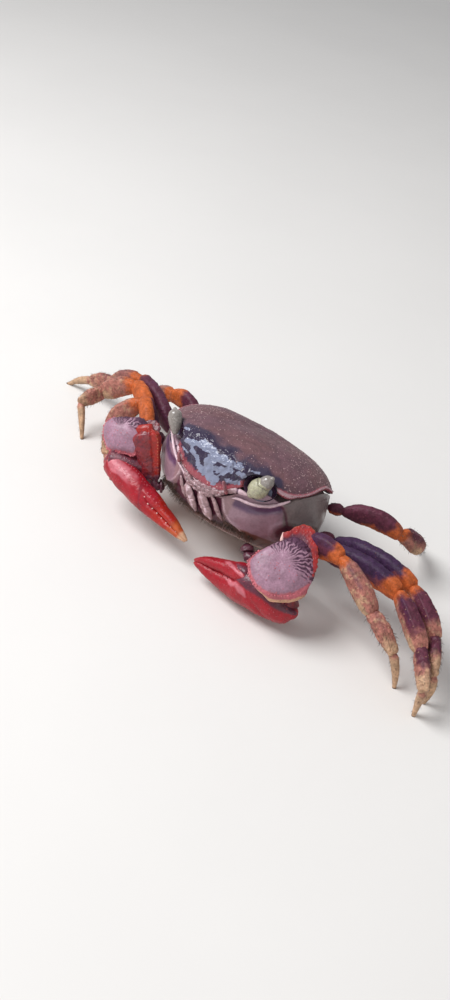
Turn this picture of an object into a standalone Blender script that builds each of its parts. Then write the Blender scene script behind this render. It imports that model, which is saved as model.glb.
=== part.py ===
"""A land crab at life size, as a still display model that stands on a level floor.

+X is the crab's left, -Y its front and +Z up. Lengths below are millimetres. The body is worked out
in its own level frame and then tipped nose-up, and the limbs are set out round it on the floor.
"""

import math

import bmesh
import bpy
from mathutils import Matrix, Vector

MM = 0.001
NAME = "land_crab"

# Driving dimensions of the body.
CARAPACE_WIDTH = 40.0
HALF_WIDTH = 0.485 * CARAPACE_WIDTH
FRONT_LENGTH = 0.415 * CARAPACE_WIDTH
REAR_LENGTH = 0.312 * CARAPACE_WIDTH
DOME_HEIGHT = 0.13 * CARAPACE_WIDTH
BELLY_DEPTH = 0.392 * CARAPACE_WIDTH
DOME_FULLNESS = 0.66
BELLY_FULLNESS = {"ends": 0.4, "sides": 0.08}
# The side walls swell out past the shell, most of all this far below it.
SIDE_SWELL = 0.085
SWELL_LATITUDE = -30.0
# The shell's edge: degrees of latitude it droops or rises, and where, in cosines of the azimuth.
FRONT_DROOP = 21.0
FRONT_DROOP_END = 0.45
CORNER_DROOP = 6.0
CORNER_PLACE = 0.86
CORNER_SPREAD = 0.1
RIDGE_RISE = 26.0
RIDGE_STEEPNESS = 12
BODY_PITCH = 22.5
BODY_HEIGHT = 17.8
MARGIN_OVERHANG = 0.5
# The rings of the shell and trunk: how many points round, the highest and lowest latitudes, and the
# shell's turned-in edge as shares of its reach and drops in millimetres.
BODY_COLUMNS = 48
SHELL_ROWS = 9
CROWN_LATITUDE = 84.0
CROWN_CROWDING = 1.15
SHELL_EDGE = ((0.97, 0.45), (0.86, 0.3))
KEEL_LATITUDE = -86.0
TRUNK_STEPS = (0.0, 0.1, 0.25, 0.42, 0.6, 0.78, 0.92)
TRUNK_TOP_DROP = 4.0
TRUNK_LID_LIFT = 0.1
PLATE_THICKNESS = 0.9
# Moves the whole model so that the middle of its outline stands over the origin.
STAND = (1.648, -1.24, 0.0)
GAP = 0.35

# Shares of the adult proportions, for each pair of walking legs from the front.
HIP_AZIMUTHS = (-21.0, -6.0, 11.0, 27.0)
HIP_LATITUDES = (-33.0, -32.0, -28.0, -9.0)
COXA_LENGTH = 3.0
COXA_TURN = 0.55
LEG_DEPTHS = (0.95, 1.0, 1.0, 0.85)
TIP_RADIUS = 0.4

# Knee, carpus end, propodus end and tip of each leg. The crab crouches with its left legs reaching
# forward, its right legs swept back, and the last pair folded up behind it.
LEG_POSES = {
    "left_1": ((31.6, -10.4, 17.0), (42.1, -12.7, 12.0), (49.3, -13.6, 7.5), (52.0, -13.6, 0)),
    "left_2": ((42.6, -5.0, 13.0), (53.2, -10.8, 9.5), (59.0, -17.3, 7.6), (58.6, -16.6, 0)),
    "left_3": ((43.5, -1.1, 12.8), (53.2, -6.2, 9.6), (57.8, -12.4, 7.6), (58.0, -12.4, 0)),
    "left_4": ((32.0, 10.6, 12.8), (34.8, 16.4, 7.6), (32.0, 22.4, 4.0), (27.0, 26.2, 0)),
    "right_1": ((-28.4, -4.2, 17.2), (-34.5, -7.3, 9.2), (-31.4, -11.2, 4.6), (-27.6, -12.6, 0)),
    "right_2": ((-36.7, 2.2, 14.3), (-44.7, 0.2, 9.4), (-47.0, -5.0, 7.2), (-43.0, -7.4, 0)),
    "right_3": ((-38.5, 5.8, 13.6), (-47.4, 6.2, 8.2), (-55.2, 6.6, 4.5), (-62.4, 5.8, 0)),
    "right_4": ((-30.8, 8.4, 12.8), (-37.6, 10.8, 8.2), (-42.6, 13.4, 3.6), (-47.8, 16.6, 0)),
}

# Stations along a limb segment: share of its length, half height and half thickness in millimetres.
COXA = ((0, 0.8, 0.8), (0.15, 1.25, 1.25), (0.6, 1.5, 1.45), (0.9, 1.1, 1.1), (1, 0.7, 0.7))
MERUS = ((0, 0.9, 0.8), (0.06, 1.5, 1.2), (0.3, 2.55, 1.6), (0.6, 2.8, 1.6), (0.86, 2.3, 1.5),
         (0.97, 1.6, 1.3), (1, 1.1, 0.95))
CARPUS = ((0, 1.0, 0.85), (0.06, 1.5, 1.15), (0.35, 2.25, 1.6), (0.72, 2.6, 1.75), (0.94, 1.9, 1.4),
          (1, 1.2, 1.0))
PROPODUS = ((0, 1.0, 0.8), (0.08, 1.6, 1.2), (0.45, 2.1, 1.4), (0.85, 1.7, 1.2), (1, 0.95, 0.8))
DACTYL = ((0, 0.6, 0.55), (0.12, 1.15, 0.95), (0.4, 1.05, 0.85), (0.75, 0.7, 0.6))

# The big claws: joints of each arm, and the upward direction of each palm.
ARM_ROOT = (50.0, -62.0)
ARM_ROOT_GAP = 0.8
ARM_REACH = 0.95
ARM_BASE = ((0, 0.9, 0.9), (0.3, 1.4, 1.4), (0.8, 1.4, 1.4), (1, 0.9, 0.9))
ARM_POSES = {
    "left": dict(shoulder=(13.6, -14.4, 6.6), knee=(22.6, -12.4, 8.4), carpus=(24.0, -18.2, 13.3),
                 face=(0.22, -0.45, 0.85), wrist=(28.7, -18.8, 7.4), tip=(6.0, -21.4, 4.1),
                 up=(0.1, 0.25, 1.0), breadth=(0, 0.2, 1)),
    "right": dict(shoulder=(-13.2, -14.8, 8.0), knee=(-17.6, -13.6, 19.6), carpus=(-23.2, -14.7, 15.8),
                  face=(0.09, -0.6, 0.65), wrist=(-22.3, -19.0, 11.2), tip=(1.9, -20.4, 6.1),
                  up=(0.15, 0.3, 1.0), breadth=(1, 0.9, 0.2)),
}
CLAW_CARPUS = {"left": (6.2, 6.4, 2.8), "right": (3.5, 5.1, 3.2)}
# A carpus is flattened past this reach towards this direction in its face's plane.
CARPUS_TRIM = {"left": ((-0.887, -0.462), 3.6, 0.7), "right": ((-0.887, -0.462), 9.0, 0.0)}
# The palms' heights as shares of their stations, and how much fuller each is over its wrist.
CLAW_HEIGHTS = {"left": 1.0, "right": 0.64}
CLAW_SHOULDERS = {"left": 0.0, "right": 1.5}
SHOULDER_END = 0.45
ARM_MERUS = ((0, 1.0, 0.8), (0.1, 1.6, 1.2), (0.5, 1.9, 1.35), (0.85, 2.3, 1.45), (0.96, 1.9, 1.3),
             (1, 1.2, 1.0))
# Stations of the palm with its fixed finger, and of the movable finger: share of the claw's length,
# upper edge, lower edge and half thickness.
PALM = ((-0.03, -0.6, -3.2, 1.3), (0.02, 0.4, -4.6, 2.1), (0.12, 1.6, -5.5, 2.7), (0.3, 3.4, -5.4, 3.1),
        (0.45, 4.0, -4.9, 3.1), (0.5, 3.7, -4.8, 2.9), (0.53, 0.4, -4.5, 2.5), (0.7, 0.3, -3.6, 1.9),
        (0.87, 0.25, -2.3, 1.3), (0.97, -0.1, -1.1, 0.7), (1, -0.35, -0.75, 0.35))
FINGER = ((0.535, 2.7, 1.3, 1.2), (0.57, 3.3, 0.85, 1.8), (0.72, 2.8, 0.7, 1.6), (0.88, 1.9, 0.65, 1.1),
          (0.98, 0.9, 0.3, 0.55), (1.005, 0.5, 0.15, 0.3))

# The face, in shares of the carapace width from the body's centre.
EYE_CENTRES = {"left": (0.3, -0.34, -0.008), "right": (-0.3155, -0.34, 0.03)}
EYE_SCALES = {"left": 1.0, "right": 0.8}
EYE_DIRECTION = (0.49, 0.0, 0.87)
EYE_LENGTHS = {"left": 5.6, "right": 4.7}
EYE = ((0, 0.9, 0.9), (0.1, 1.5, 1.5), (0.33, 1.9, 1.9), (0.58, 1.5, 1.5), (0.7, 1.1, 1.1),
       (0.84, 1.1, 1.1), (0.95, 0.8, 0.8), (1, 0.4, 0.4))
ORBIT_CENTRE = (0.308, -0.365, -0.02)
ORBIT_RADII = (4.5, 3.9, 3.2)
ANTENNA_ROOT = (0.163, -0.39, -0.12)
ANTENNA_END = (0.15, -0.44, -0.065)
ANTENNA = ((0, 0.4, 0.4), (0.5, 0.35, 0.35), (1, 0.28, 0.28))

COLOURS = {
    "shell": ((0.115, 0.055, 0.055), 0.45),
    "cheek": ((0.30, 0.19, 0.22), 0.4),
    "belly": ((0.45, 0.30, 0.25), 0.5),
    "eye": ((0.62, 0.66, 0.46), 0.25),
    "mouth": ((0.52, 0.34, 0.30), 0.5),
    "claw": ((0.55, 0.03, 0.04), 0.3),
    "claw_wrist": ((0.42, 0.22, 0.27), 0.4),
    "claw_arm": ((0.60, 0.14, 0.05), 0.4),
    "leg_upper": ((0.12, 0.04, 0.07), 0.4),
    "leg_lower": ((0.42, 0.20, 0.13), 0.45),
    "leg_tip": ((0.55, 0.40, 0.22), 0.5),
}


def clear_scene():
    for obj in list(bpy.data.objects):
        bpy.data.objects.remove(obj)


def collection(name):
    made = bpy.data.collections.new(name)
    bpy.context.scene.collection.children.link(made)
    return made


def material(name):
    found = bpy.data.materials.get(name)
    if found:
        return found
    colour, roughness = COLOURS[name]
    made = bpy.data.materials.new(name)
    made.use_nodes = True
    shader = made.node_tree.nodes["Principled BSDF"]
    shader.inputs["Base Color"].default_value = (*colour, 1)
    shader.inputs["Roughness"].default_value = roughness
    shader.inputs["Metallic"].default_value = 0.0
    return made


def loft(name, rings, colour, home, start=None, end=None):
    """One closed body through rings of equal count. A cap is a fan to the start or end point, or flat."""
    work = bmesh.new()
    loops = [[work.verts.new(point * MM) for point in ring] for ring in rings]
    count = len(rings[0])
    for near, far in zip(loops, loops[1:]):
        for i in range(count):
            j = (i + 1) % count
            work.faces.new((near[i], near[j], far[j], far[i]))
    for loop, tip in ((loops[0], start), (loops[-1], end)):
        if tip is None:
            work.faces.new(loop)
        else:
            peak = work.verts.new(tip * MM)
            for i in range(count):
                work.faces.new((loop[i], loop[(i + 1) % count], peak))
    bmesh.ops.recalc_face_normals(work, faces=work.faces)
    mesh = bpy.data.meshes.new(name)
    work.to_mesh(mesh)
    work.free()
    mesh.shade_smooth()
    mesh.materials.append(material(colour))
    made = bpy.data.objects.new(name, mesh)
    home.objects.link(made)
    return made


def frame_along(start, end, up):
    """Unit vectors along, up and to the side of a limb, with up kept square to it."""
    along = (end - start).normalized()
    side = along.cross(up).normalized()
    return along, side.cross(along).normalized(), side


def oval(centre, up, side, high, low, half_side, power, count):
    """A ring of a superellipse whose top and bottom lie at their own distances from the centre."""
    middle = centre + up * ((high + low) / 2)
    half = (high - low) / 2
    ring = []
    for i in range(count):
        turn = math.tau * (i + 0.5) / count
        c, s = math.cos(turn), math.sin(turn)
        across = math.copysign(abs(c) ** (2 / power), c) * half_side
        upward = math.copysign(abs(s) ** (2 / power), s) * half
        ring.append(middle + side * across + up * upward)
    return ring


def limb(name, start, end, stations, colour, home, up=Vector((0, 0, 1)), scale=1.0, bow=0.0,
         count=10, power=2.3):
    """A segment from start to end, arched upwards by bow millimetres at its middle."""
    along, upward, side = frame_along(start, end, up)
    rings = []
    for share, half_height, half_width in stations:
        centre = start.lerp(end, share) + upward * (bow * 4 * share * (1 - share))
        half_height, half_width = half_height * scale, half_width * scale
        rings.append(oval(centre, upward, side, half_height, -half_height, half_width, power, count))
    return loft(name, rings, colour, home)


def set_back(joint, own, other, stations, scale, at_end):
    """How far a segment's end stands back so that it stays on its side of the plane halving the bend."""
    half_bend = (own - joint).angle(other - joint) / 2
    length = (own - joint).length
    needed = []
    for share, half_height, half_width in stations:
        reach = (1 - share if at_end else share) * length
        radius = max(half_height, half_width) * scale
        needed.append((radius * math.cos(half_bend) + GAP / 2) / math.sin(half_bend) - reach)
    return max(needed)


def body_point(azimuth, latitude, grow=0.0):
    """A point of the body's skin in its own frame. Azimuth 0 is its left and -90 its front."""
    turn, rise = math.radians(azimuth), math.radians(latitude)
    c, s = math.cos(turn), math.sin(turn)
    sideways = c * c * min(1, 1 + s)
    length = FRONT_LENGTH if s < 0 else REAR_LENGTH
    belly = BELLY_FULLNESS["ends"] * (1 - sideways) + BELLY_FULLNESS["sides"] * sideways
    fullness = DOME_FULLNESS if latitude >= 0 else belly
    spread = abs(math.cos(rise)) ** fullness
    if latitude < 0:
        below = min(1, latitude / (2 * SWELL_LATITUDE))
        spread *= 1 + SIDE_SWELL * sideways * math.sin(math.pi * below)
    height = DOME_HEIGHT if latitude >= 0 else BELLY_DEPTH
    return Vector((c * (HALF_WIDTH + grow) * spread, s * (length + grow) * spread,
                   math.sin(rise) * (height + grow)))


def margin_latitude(azimuth):
    """The shell's edge droops between and outside the eyes and rises over the cheeks as a ridge."""
    across = abs(math.cos(math.radians(azimuth)))
    front = math.sin(math.radians(azimuth)) < 0
    middle = FRONT_DROOP * math.exp(-((across / FRONT_DROOP_END) ** 4))
    corner = CORNER_DROOP * math.exp(-(((across - CORNER_PLACE) / CORNER_SPREAD) ** 2))
    return RIDGE_RISE * across ** RIDGE_STEEPNESS - (middle + corner if front else 0.0)


def body_frame():
    return Matrix.Translation((0, 0, BODY_HEIGHT)) @ Matrix.Rotation(math.radians(-BODY_PITCH), 4, "X")


def placed(point):
    """A point of the body's own frame, in the floor's frame."""
    return body_frame() @ Vector(point)


def share_point(shares):
    return Vector(shares) * CARAPACE_WIDTH


def set_on_body(obj, posed):
    obj.parent = posed
    return obj


def ring_azimuths():
    return [360 * (column + 0.5) / BODY_COLUMNS - 180 for column in range(BODY_COLUMNS)]


def carapace(home, posed):
    rings = []
    for row in range(SHELL_ROWS):
        upwards = 1 - row / (SHELL_ROWS - 1)
        ring = []
        for azimuth in ring_azimuths():
            low = margin_latitude(azimuth)
            latitude = low + (CROWN_LATITUDE - low) * upwards ** CROWN_CROWDING
            ring.append(body_point(azimuth, latitude))
        rings.append(ring)
    margin = rings[-1]
    for inward, drop in SHELL_EDGE:
        rings.append([Vector((p.x * inward, p.y * inward, p.z - drop)) for p in margin])
    middle = Vector((0, 0, sum(p.z for p in margin) / len(margin)))
    return set_on_body(loft("carapace", rings, "shell", home, Vector((0, 0, DOME_HEIGHT)), middle), posed)


def thorax(home, posed):
    first_edge, last_edge = SHELL_EDGE
    rings = []
    for step in TRUNK_STEPS:
        ring = []
        for azimuth in ring_azimuths():
            top = margin_latitude(azimuth) - TRUNK_TOP_DROP
            latitude = top + (KEEL_LATITUDE - top) * step
            point = body_point(azimuth, latitude, -MARGIN_OVERHANG)
            if step == 0:
                point.z -= first_edge[1] + GAP
            ring.append(point)
        rings.append(ring)
    inward = last_edge[0]
    lid = [Vector((p.x * inward, p.y * inward, p.z + TRUNK_LID_LIFT)) for p in rings[0]]
    middle = Vector((0, 0, sum(p.z for p in rings[0]) / len(rings[0])))
    rings.insert(0, lid)
    bottom = Vector((0, 0, -BELLY_DEPTH + MARGIN_OVERHANG))
    return set_on_body(loft("thorax", rings, "cheek", home, middle, bottom), posed)


def cut(target, cutter):
    modifier = target.modifiers.new("cut_" + cutter.name, "BOOLEAN")
    modifier.operation = "DIFFERENCE"
    modifier.solver = "EXACT"
    modifier.object = cutter


def orbit_cutter(sign, home, posed):
    work = bmesh.new()
    bmesh.ops.create_uvsphere(work, u_segments=16, v_segments=10, radius=1)
    bmesh.ops.scale(work, verts=work.verts, vec=Vector(ORBIT_RADII) * MM)
    mesh = bpy.data.meshes.new("orbit_cutter")
    work.to_mesh(mesh)
    work.free()
    made = bpy.data.objects.new("orbit_cutter", mesh)
    home.objects.link(made)
    made.parent = posed
    centre = share_point(ORBIT_CENTRE) * MM
    made.location = (centre.x * sign, centre.y, centre.z)
    made.hide_render = True
    made.display_type = "WIRE"
    return made


def eye(sign, side, home, posed):
    centre = share_point(EYE_CENTRES[side])
    lean = Vector(EYE_DIRECTION).normalized() * Vector((sign, 1, 1)) * (EYE_LENGTHS[side] / 2)
    made = limb("eye_" + side, centre - lean, centre + lean, EYE, "eye", home, up=Vector((0, -1, 0)),
                scale=EYE_SCALES[side], count=12, power=2)
    return set_on_body(made, posed)


def antenna(sign, side, home, posed):
    mirror = Vector((sign, 1, 1))
    start, end = share_point(ANTENNA_ROOT) * mirror, share_point(ANTENNA_END) * mirror
    made = limb("antenna_" + side, start, end, ANTENNA, "mouth", home, up=Vector((1, 0, 0)),
                count=8, power=2)
    return set_on_body(made, posed)


def plate_on_body(name, outline, thickness, colour, home, posed, rows, columns):
    """A curved plate that lies on the body's skin: outline gives azimuth limits for each latitude."""
    work = bmesh.new()
    bmesh.ops.create_grid(work, x_segments=columns, y_segments=rows, size=0.5)
    for vert in work.verts:
        latitude, low, high = outline(0.5 - vert.co.y)
        azimuth = low + (high - low) * (vert.co.x + 0.5)
        vert.co = body_point(azimuth, latitude, GAP - MARGIN_OVERHANG) * MM
    bmesh.ops.recalc_face_normals(work, faces=work.faces)
    middle = work.faces[:][len(work.faces) // 2]
    if middle.normal.dot(middle.calc_center_median()) < 0:
        bmesh.ops.reverse_faces(work, faces=work.faces)
    mesh = bpy.data.meshes.new(name)
    work.to_mesh(mesh)
    work.free()
    mesh.materials.append(material(colour))
    made = bpy.data.objects.new(name, mesh)
    home.objects.link(made)
    shell = made.modifiers.new("thickness", "SOLIDIFY")
    shell.thickness = thickness * MM
    shell.offset = 1
    return set_on_body(made, posed)


def maxilliped(sign, side, home, posed):
    """The outer mouthparts leave a narrow diamond between them."""

    def outline(share):
        latitude = -30 - 32 * share
        gape = 1.0 + 1.6 * math.sin(math.pi * share)
        width = 9.5 - 1.5 * share
        if sign > 0:
            return latitude, -90 + gape, -90 + gape + width
        return latitude, -90 - gape - width, -90 - gape

    return plate_on_body("maxilliped_" + side, outline, PLATE_THICKNESS, "mouth", home, posed,
                         rows=6, columns=3)


def abdomen(home, posed):
    """The tail flap, folded flat under the rear of the body."""

    def outline(share):
        latitude = -24 - 50 * share
        half = 24 + 10 * share
        return latitude, 90 - half, 90 + half

    return plate_on_body("abdomen", outline, PLATE_THICKNESS, "belly", home, posed, rows=7, columns=8)


def hip_on_body(sign, index):
    """Where a leg leaves the body, and the outward normal there, both in the floor's frame."""
    azimuth = HIP_AZIMUTHS[index] if sign > 0 else 180 - HIP_AZIMUTHS[index]
    latitude = HIP_LATITUDES[index]
    skin = body_point(azimuth, latitude, GAP - MARGIN_OVERHANG)
    ahead = body_point(azimuth + 1, latitude) - body_point(azimuth - 1, latitude)
    upward = body_point(azimuth, latitude + 1) - body_point(azimuth, latitude - 1)
    normal = ahead.cross(upward).normalized()
    return placed(skin), (placed(skin + normal) - placed(skin))


def walking_leg(name, joints, home):
    side, number = name.split("_")
    index = int(number) - 1
    scale = LEG_DEPTHS[index]
    knee, ankle, heel, tip = (Vector(joint) for joint in joints)
    skin, normal = hip_on_body(1 if side == "left" else -1, index)
    hip = skin + normal * GAP
    outward = normal * COXA_TURN + (knee - hip).normalized() * (1 - COXA_TURN)
    chain = [hip, hip + outward.normalized() * COXA_LENGTH, knee, ankle, heel, tip]
    profiles = (COXA, MERUS, CARPUS, PROPODUS, DACTYL)
    starts, ends = [hip], []
    for k in range(1, 5):
        before, joint, after = chain[k - 1:k + 2]
        near = set_back(joint, before, after, profiles[k - 1], scale, True)
        far = set_back(joint, after, before, profiles[k], scale, False)
        ends.append(joint + (before - joint).normalized() * near)
        starts.append(joint + (after - joint).normalized() * far)
    stem = "leg_" + name
    limb(stem + "_coxa", starts[0], ends[0], COXA, "leg_upper", home, scale=scale)
    limb(stem + "_merus", starts[1], ends[1], MERUS, "leg_upper", home, scale=scale, bow=1.2)
    limb(stem + "_carpus", starts[2], ends[2], CARPUS, "leg_lower", home, scale=scale, bow=0.5)
    limb(stem + "_propodus", starts[3], ends[3], PROPODUS, "leg_lower", home, scale=scale, bow=0.2)
    dactyl(stem + "_dactyl", starts[4], tip, scale, home)


def dactyl(name, start, tip, scale, home):
    """A tapering spike whose last ring lies in the floor's plane."""
    up = Vector((0, 0, 1))
    along, upward, side = frame_along(start, tip, up)
    rings = []
    for share, half_height, half_width in DACTYL:
        centre = start.lerp(tip, share) + upward * (0.5 * 4 * share * (1 - share) * scale)
        rings.append(oval(centre, upward, side, half_height * scale, -half_height * scale,
                          half_width * scale, 2.2, 8))
    foot = []
    for point in oval(Vector((0, 0, 0)), upward, side, TIP_RADIUS, -TIP_RADIUS, TIP_RADIUS, 2, 8):
        flat = tip + point
        foot.append(flat - along * (flat.z / along.z))
    rings.append(foot)
    return loft(name, rings, "leg_tip", home)


def superellipsoid(name, centre, axes, radii, power, trim, colour, home):
    """A rounded block along three axes, made by swelling a sphere and flattening one side of it."""
    (trim_down, trim_across), limit, share = trim
    work = bmesh.new()
    bmesh.ops.create_uvsphere(work, u_segments=20, v_segments=10, radius=1)
    for vert in work.verts:
        swell = sum(abs(x) ** power for x in vert.co) ** (-1 / power)
        a, b, h = (x * swell * radius for x, radius in zip(vert.co, radii))
        excess = max(0.0, a * trim_down + b * trim_across - limit) * share
        a, b = a - trim_down * excess, b - trim_across * excess
        vert.co = (centre + axes[0] * a + axes[1] * b + axes[2] * h) * MM
    bmesh.ops.recalc_face_normals(work, faces=work.faces)
    mesh = bpy.data.meshes.new(name)
    work.to_mesh(mesh)
    work.free()
    mesh.shade_smooth()
    mesh.materials.append(material(colour))
    made = bpy.data.objects.new(name, mesh)
    home.objects.link(made)
    return made


def edge_loft(name, stations, origin, axes, length, claw_side, colour, home, count=16, power=2.3):
    """A loft along axes[0] whose stations give upper edge, lower edge and half thickness."""
    along, upward, side = axes
    height, shoulder = CLAW_HEIGHTS[claw_side], CLAW_SHOULDERS[claw_side]
    rings = []
    for share, high, low, half in stations:
        centre = origin + along * (share * length)
        fuller = shoulder * max(0.0, 1 - max(0.0, share) / SHOULDER_END)
        rings.append(oval(centre, upward, side, high * height + fuller, low * height, half, power, count))
    return loft(name, rings, colour, home)


def claw_arm(side, home):
    sign = 1 if side == "left" else -1
    pose = ARM_POSES[side]
    keys = ("shoulder", "knee", "carpus", "face", "wrist", "tip", "up", "breadth")
    shoulder, knee, carpus, face, wrist, tip, up, breadth = (Vector(pose[key]) for key in keys)
    root = placed(body_point(-90 + sign * ARM_ROOT[0], ARM_ROOT[1], GAP - MARGIN_OVERHANG))
    stem = "claw_" + side
    inward, outward = (root - shoulder).normalized(), (knee - shoulder).normalized()
    base_start = root - inward * ARM_ROOT_GAP
    base_end = shoulder + inward * set_back(shoulder, root, knee, ARM_BASE, 1, True)
    arm_start = shoulder + outward * set_back(shoulder, knee, root, ARM_MERUS, 1, False)
    limb(stem + "_base", base_start, base_end, ARM_BASE, "claw_arm", home)
    limb(stem + "_merus", arm_start, arm_start.lerp(knee, ARM_REACH), ARM_MERUS, "claw_arm", home,
         up=breadth)
    face.normalize()
    down = wrist - knee
    down = (down - face * down.dot(face)).normalized()
    superellipsoid(stem + "_carpus", carpus, (down, face.cross(down), face), CLAW_CARPUS[side], 2.3,
                   CARPUS_TRIM[side], "claw_wrist", home)
    axes = frame_along(wrist, tip, up)
    length = (tip - wrist).length
    edge_loft(stem + "_palm", PALM, wrist, axes, length, side, "claw", home)
    edge_loft(stem + "_finger", FINGER, wrist, axes, length, side, "claw", home)


def main():
    clear_scene()
    parts = collection(NAME)
    cutters = collection("cutters")
    stand = bpy.data.objects.new("stand", None)
    stand.location = Vector(STAND) * MM
    parts.objects.link(stand)
    posed = bpy.data.objects.new("body_pose", None)
    posed.location = (0, 0, BODY_HEIGHT * MM)
    posed.rotation_euler = (math.radians(-BODY_PITCH), 0, 0)
    parts.objects.link(posed)
    shell = carapace(parts, posed)
    trunk = thorax(parts, posed)
    abdomen(parts, posed)
    for sign, side in ((1, "left"), (-1, "right")):
        cutter = orbit_cutter(sign, cutters, posed)
        cut(shell, cutter)
        cut(trunk, cutter)
        eye(sign, side, parts, posed)
        antenna(sign, side, parts, posed)
        maxilliped(sign, side, parts, posed)
        claw_arm(side, parts)
    for name, joints in LEG_POSES.items():
        walking_leg(name, joints, parts)
    for obj in parts.objects:
        if obj.parent is None and obj is not stand:
            obj.parent = stand


main()
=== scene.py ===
"""A life-size land crab on a pale floor: its shell plates, claws, legs and bristles round a fixed frame.

Lengths are millimetres until a mesh is made. The body is worked out in its own level frame, tipped
nose-up, and the limbs are set out round it on the floor. +X is the crab's left and -Y its front.
"""

import math

import bpy
import numpy as np
from mathutils import Matrix, Vector, noise


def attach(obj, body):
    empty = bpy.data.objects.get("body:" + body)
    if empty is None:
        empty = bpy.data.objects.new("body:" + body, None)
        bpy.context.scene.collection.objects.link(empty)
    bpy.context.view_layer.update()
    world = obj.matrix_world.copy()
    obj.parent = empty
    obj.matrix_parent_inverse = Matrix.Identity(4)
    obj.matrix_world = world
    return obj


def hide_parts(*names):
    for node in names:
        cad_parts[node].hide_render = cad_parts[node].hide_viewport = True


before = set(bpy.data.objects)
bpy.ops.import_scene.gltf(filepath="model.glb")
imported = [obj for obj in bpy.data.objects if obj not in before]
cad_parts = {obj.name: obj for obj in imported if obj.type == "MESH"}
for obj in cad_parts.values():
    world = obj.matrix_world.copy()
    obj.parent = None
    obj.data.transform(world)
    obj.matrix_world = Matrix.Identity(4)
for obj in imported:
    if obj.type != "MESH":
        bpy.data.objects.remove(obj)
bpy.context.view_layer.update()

bl_info = {
    "name": "Land Crab",
    "version": (1, 0, 0),
    "blender": (4, 5, 0),
    "location": "View3D > Sidebar > Land Crab",
    "description": "Builds a museum model of a land crab, piece by piece",
    "category": "Object",
}

MM = 0.001
TAU = math.tau
SIDES = {"left": 1, "right": -1}
DOME_RISES = np.radians([25, 50, 72])

# The solids' own measures, which the finer pieces repeat except where a comment says that they differ.
GAP = 0.35
MARGIN_OVERHANG = 0.5
BODY_PITCH = 22.5
BODY_HEIGHT = 17.8
DOME_FULLNESS = 0.66
BELLY_FULLNESS = {"ends": 0.4, "sides": 0.08}
SIDE_SWELL = 0.085
SWELL_LATITUDE = -30.0
FRONT_DROOP = 21.0
FRONT_DROOP_END = 0.45
CORNER_DROOP = 6.0
CORNER_PLACE = 0.86
CORNER_SPREAD = 0.1
RIDGE_RISE = 26.0
RIDGE_STEEPNESS = 12
HIP_AZIMUTHS = (-21.0, -6.0, 11.0, 27.0)
HIP_LATITUDES = (-33.0, -32.0, -28.0, -9.0)
COXA_LENGTH = 3.0
COXA_TURN = 0.55
LEG_DEPTHS = (0.95, 1.0, 1.0, 0.85)
TIP_RADIUS = 0.4
LEG_POSES = {
    "left_1": ((31.6, -10.4, 17.0), (42.1, -12.7, 12.0), (49.3, -13.6, 7.5), (52.0, -13.6, 0)),
    "left_2": ((42.6, -5.0, 13.0), (53.2, -10.8, 9.5), (59.0, -17.3, 7.6), (58.6, -16.6, 0)),
    "left_3": ((43.5, -1.1, 12.8), (53.2, -6.2, 9.6), (57.8, -12.4, 7.6), (58.0, -12.4, 0)),
    "left_4": ((32.0, 10.6, 12.8), (34.8, 16.4, 7.6), (32.0, 22.4, 4.0), (27.0, 26.2, 0)),
    "right_1": ((-28.4, -4.2, 17.2), (-34.5, -7.3, 9.2), (-31.4, -11.2, 4.6), (-27.6, -12.6, 0)),
    "right_2": ((-36.7, 2.2, 14.3), (-44.7, 0.2, 9.4), (-47.0, -5.0, 7.2), (-43.0, -7.4, 0)),
    "right_3": ((-38.5, 5.8, 13.6), (-47.4, 6.2, 8.2), (-55.2, 6.6, 4.5), (-62.4, 5.8, 0)),
    "right_4": ((-30.8, 8.4, 12.8), (-37.6, 10.8, 8.2), (-42.6, 13.4, 3.6), (-47.8, 16.6, 0)),
}
COXA = ((0, 0.8, 0.8), (0.15, 1.25, 1.25), (0.6, 1.5, 1.45), (0.9, 1.1, 1.1), (1, 0.7, 0.7))
MERUS = ((0, 0.9, 0.8), (0.06, 1.5, 1.2), (0.3, 2.55, 1.6), (0.6, 2.8, 1.6), (0.86, 2.3, 1.5),
         (0.97, 1.6, 1.3), (1, 1.1, 0.95))
# The shells' far ends stay wide round the joint, unlike the solids' ends.
WIDE_ENDS = {
    "merus": MERUS[:4] + ((0.86, 2.4, 1.6), (0.97, 2.1, 1.5), (1, 1.8, 1.35)),
    "carpus": ((0, 1.0, 0.85), (0.06, 1.5, 1.15), (0.35, 2.2, 1.6), (0.72, 2.45, 1.75), (0.94, 2.0, 1.55),
               (1, 1.7, 1.3)),
    "propodus": ((0, 1.0, 0.8), (0.08, 1.5, 1.15), (0.45, 1.9, 1.3), (0.85, 1.5, 1.1), (1, 1.15, 0.9)),
}
CARPUS = ((0, 1.0, 0.85), (0.06, 1.5, 1.15), (0.35, 2.25, 1.6), (0.72, 2.6, 1.75), (0.94, 1.9, 1.4),
          (1, 1.2, 1.0))
PROPODUS = ((0, 1.0, 0.8), (0.08, 1.6, 1.2), (0.45, 2.1, 1.4), (0.85, 1.7, 1.2), (1, 0.95, 0.8))
DACTYL = ((0, 0.6, 0.55), (0.12, 1.15, 0.95), (0.4, 1.05, 0.85), (0.75, 0.7, 0.6))
ARM_ROOT = (50.0, -62.0)
ARM_ROOT_GAP = 0.8
ARM_REACH = 0.95
ARM_BASE = ((0, 0.9, 0.9), (0.3, 1.4, 1.4), (0.8, 1.4, 1.4), (1, 0.9, 0.9))
ARM_MERUS = ((0, 1.0, 0.8), (0.1, 1.6, 1.2), (0.5, 1.9, 1.35), (0.85, 2.3, 1.45), (0.96, 1.9, 1.3),
             (1, 1.2, 1.0))
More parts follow.
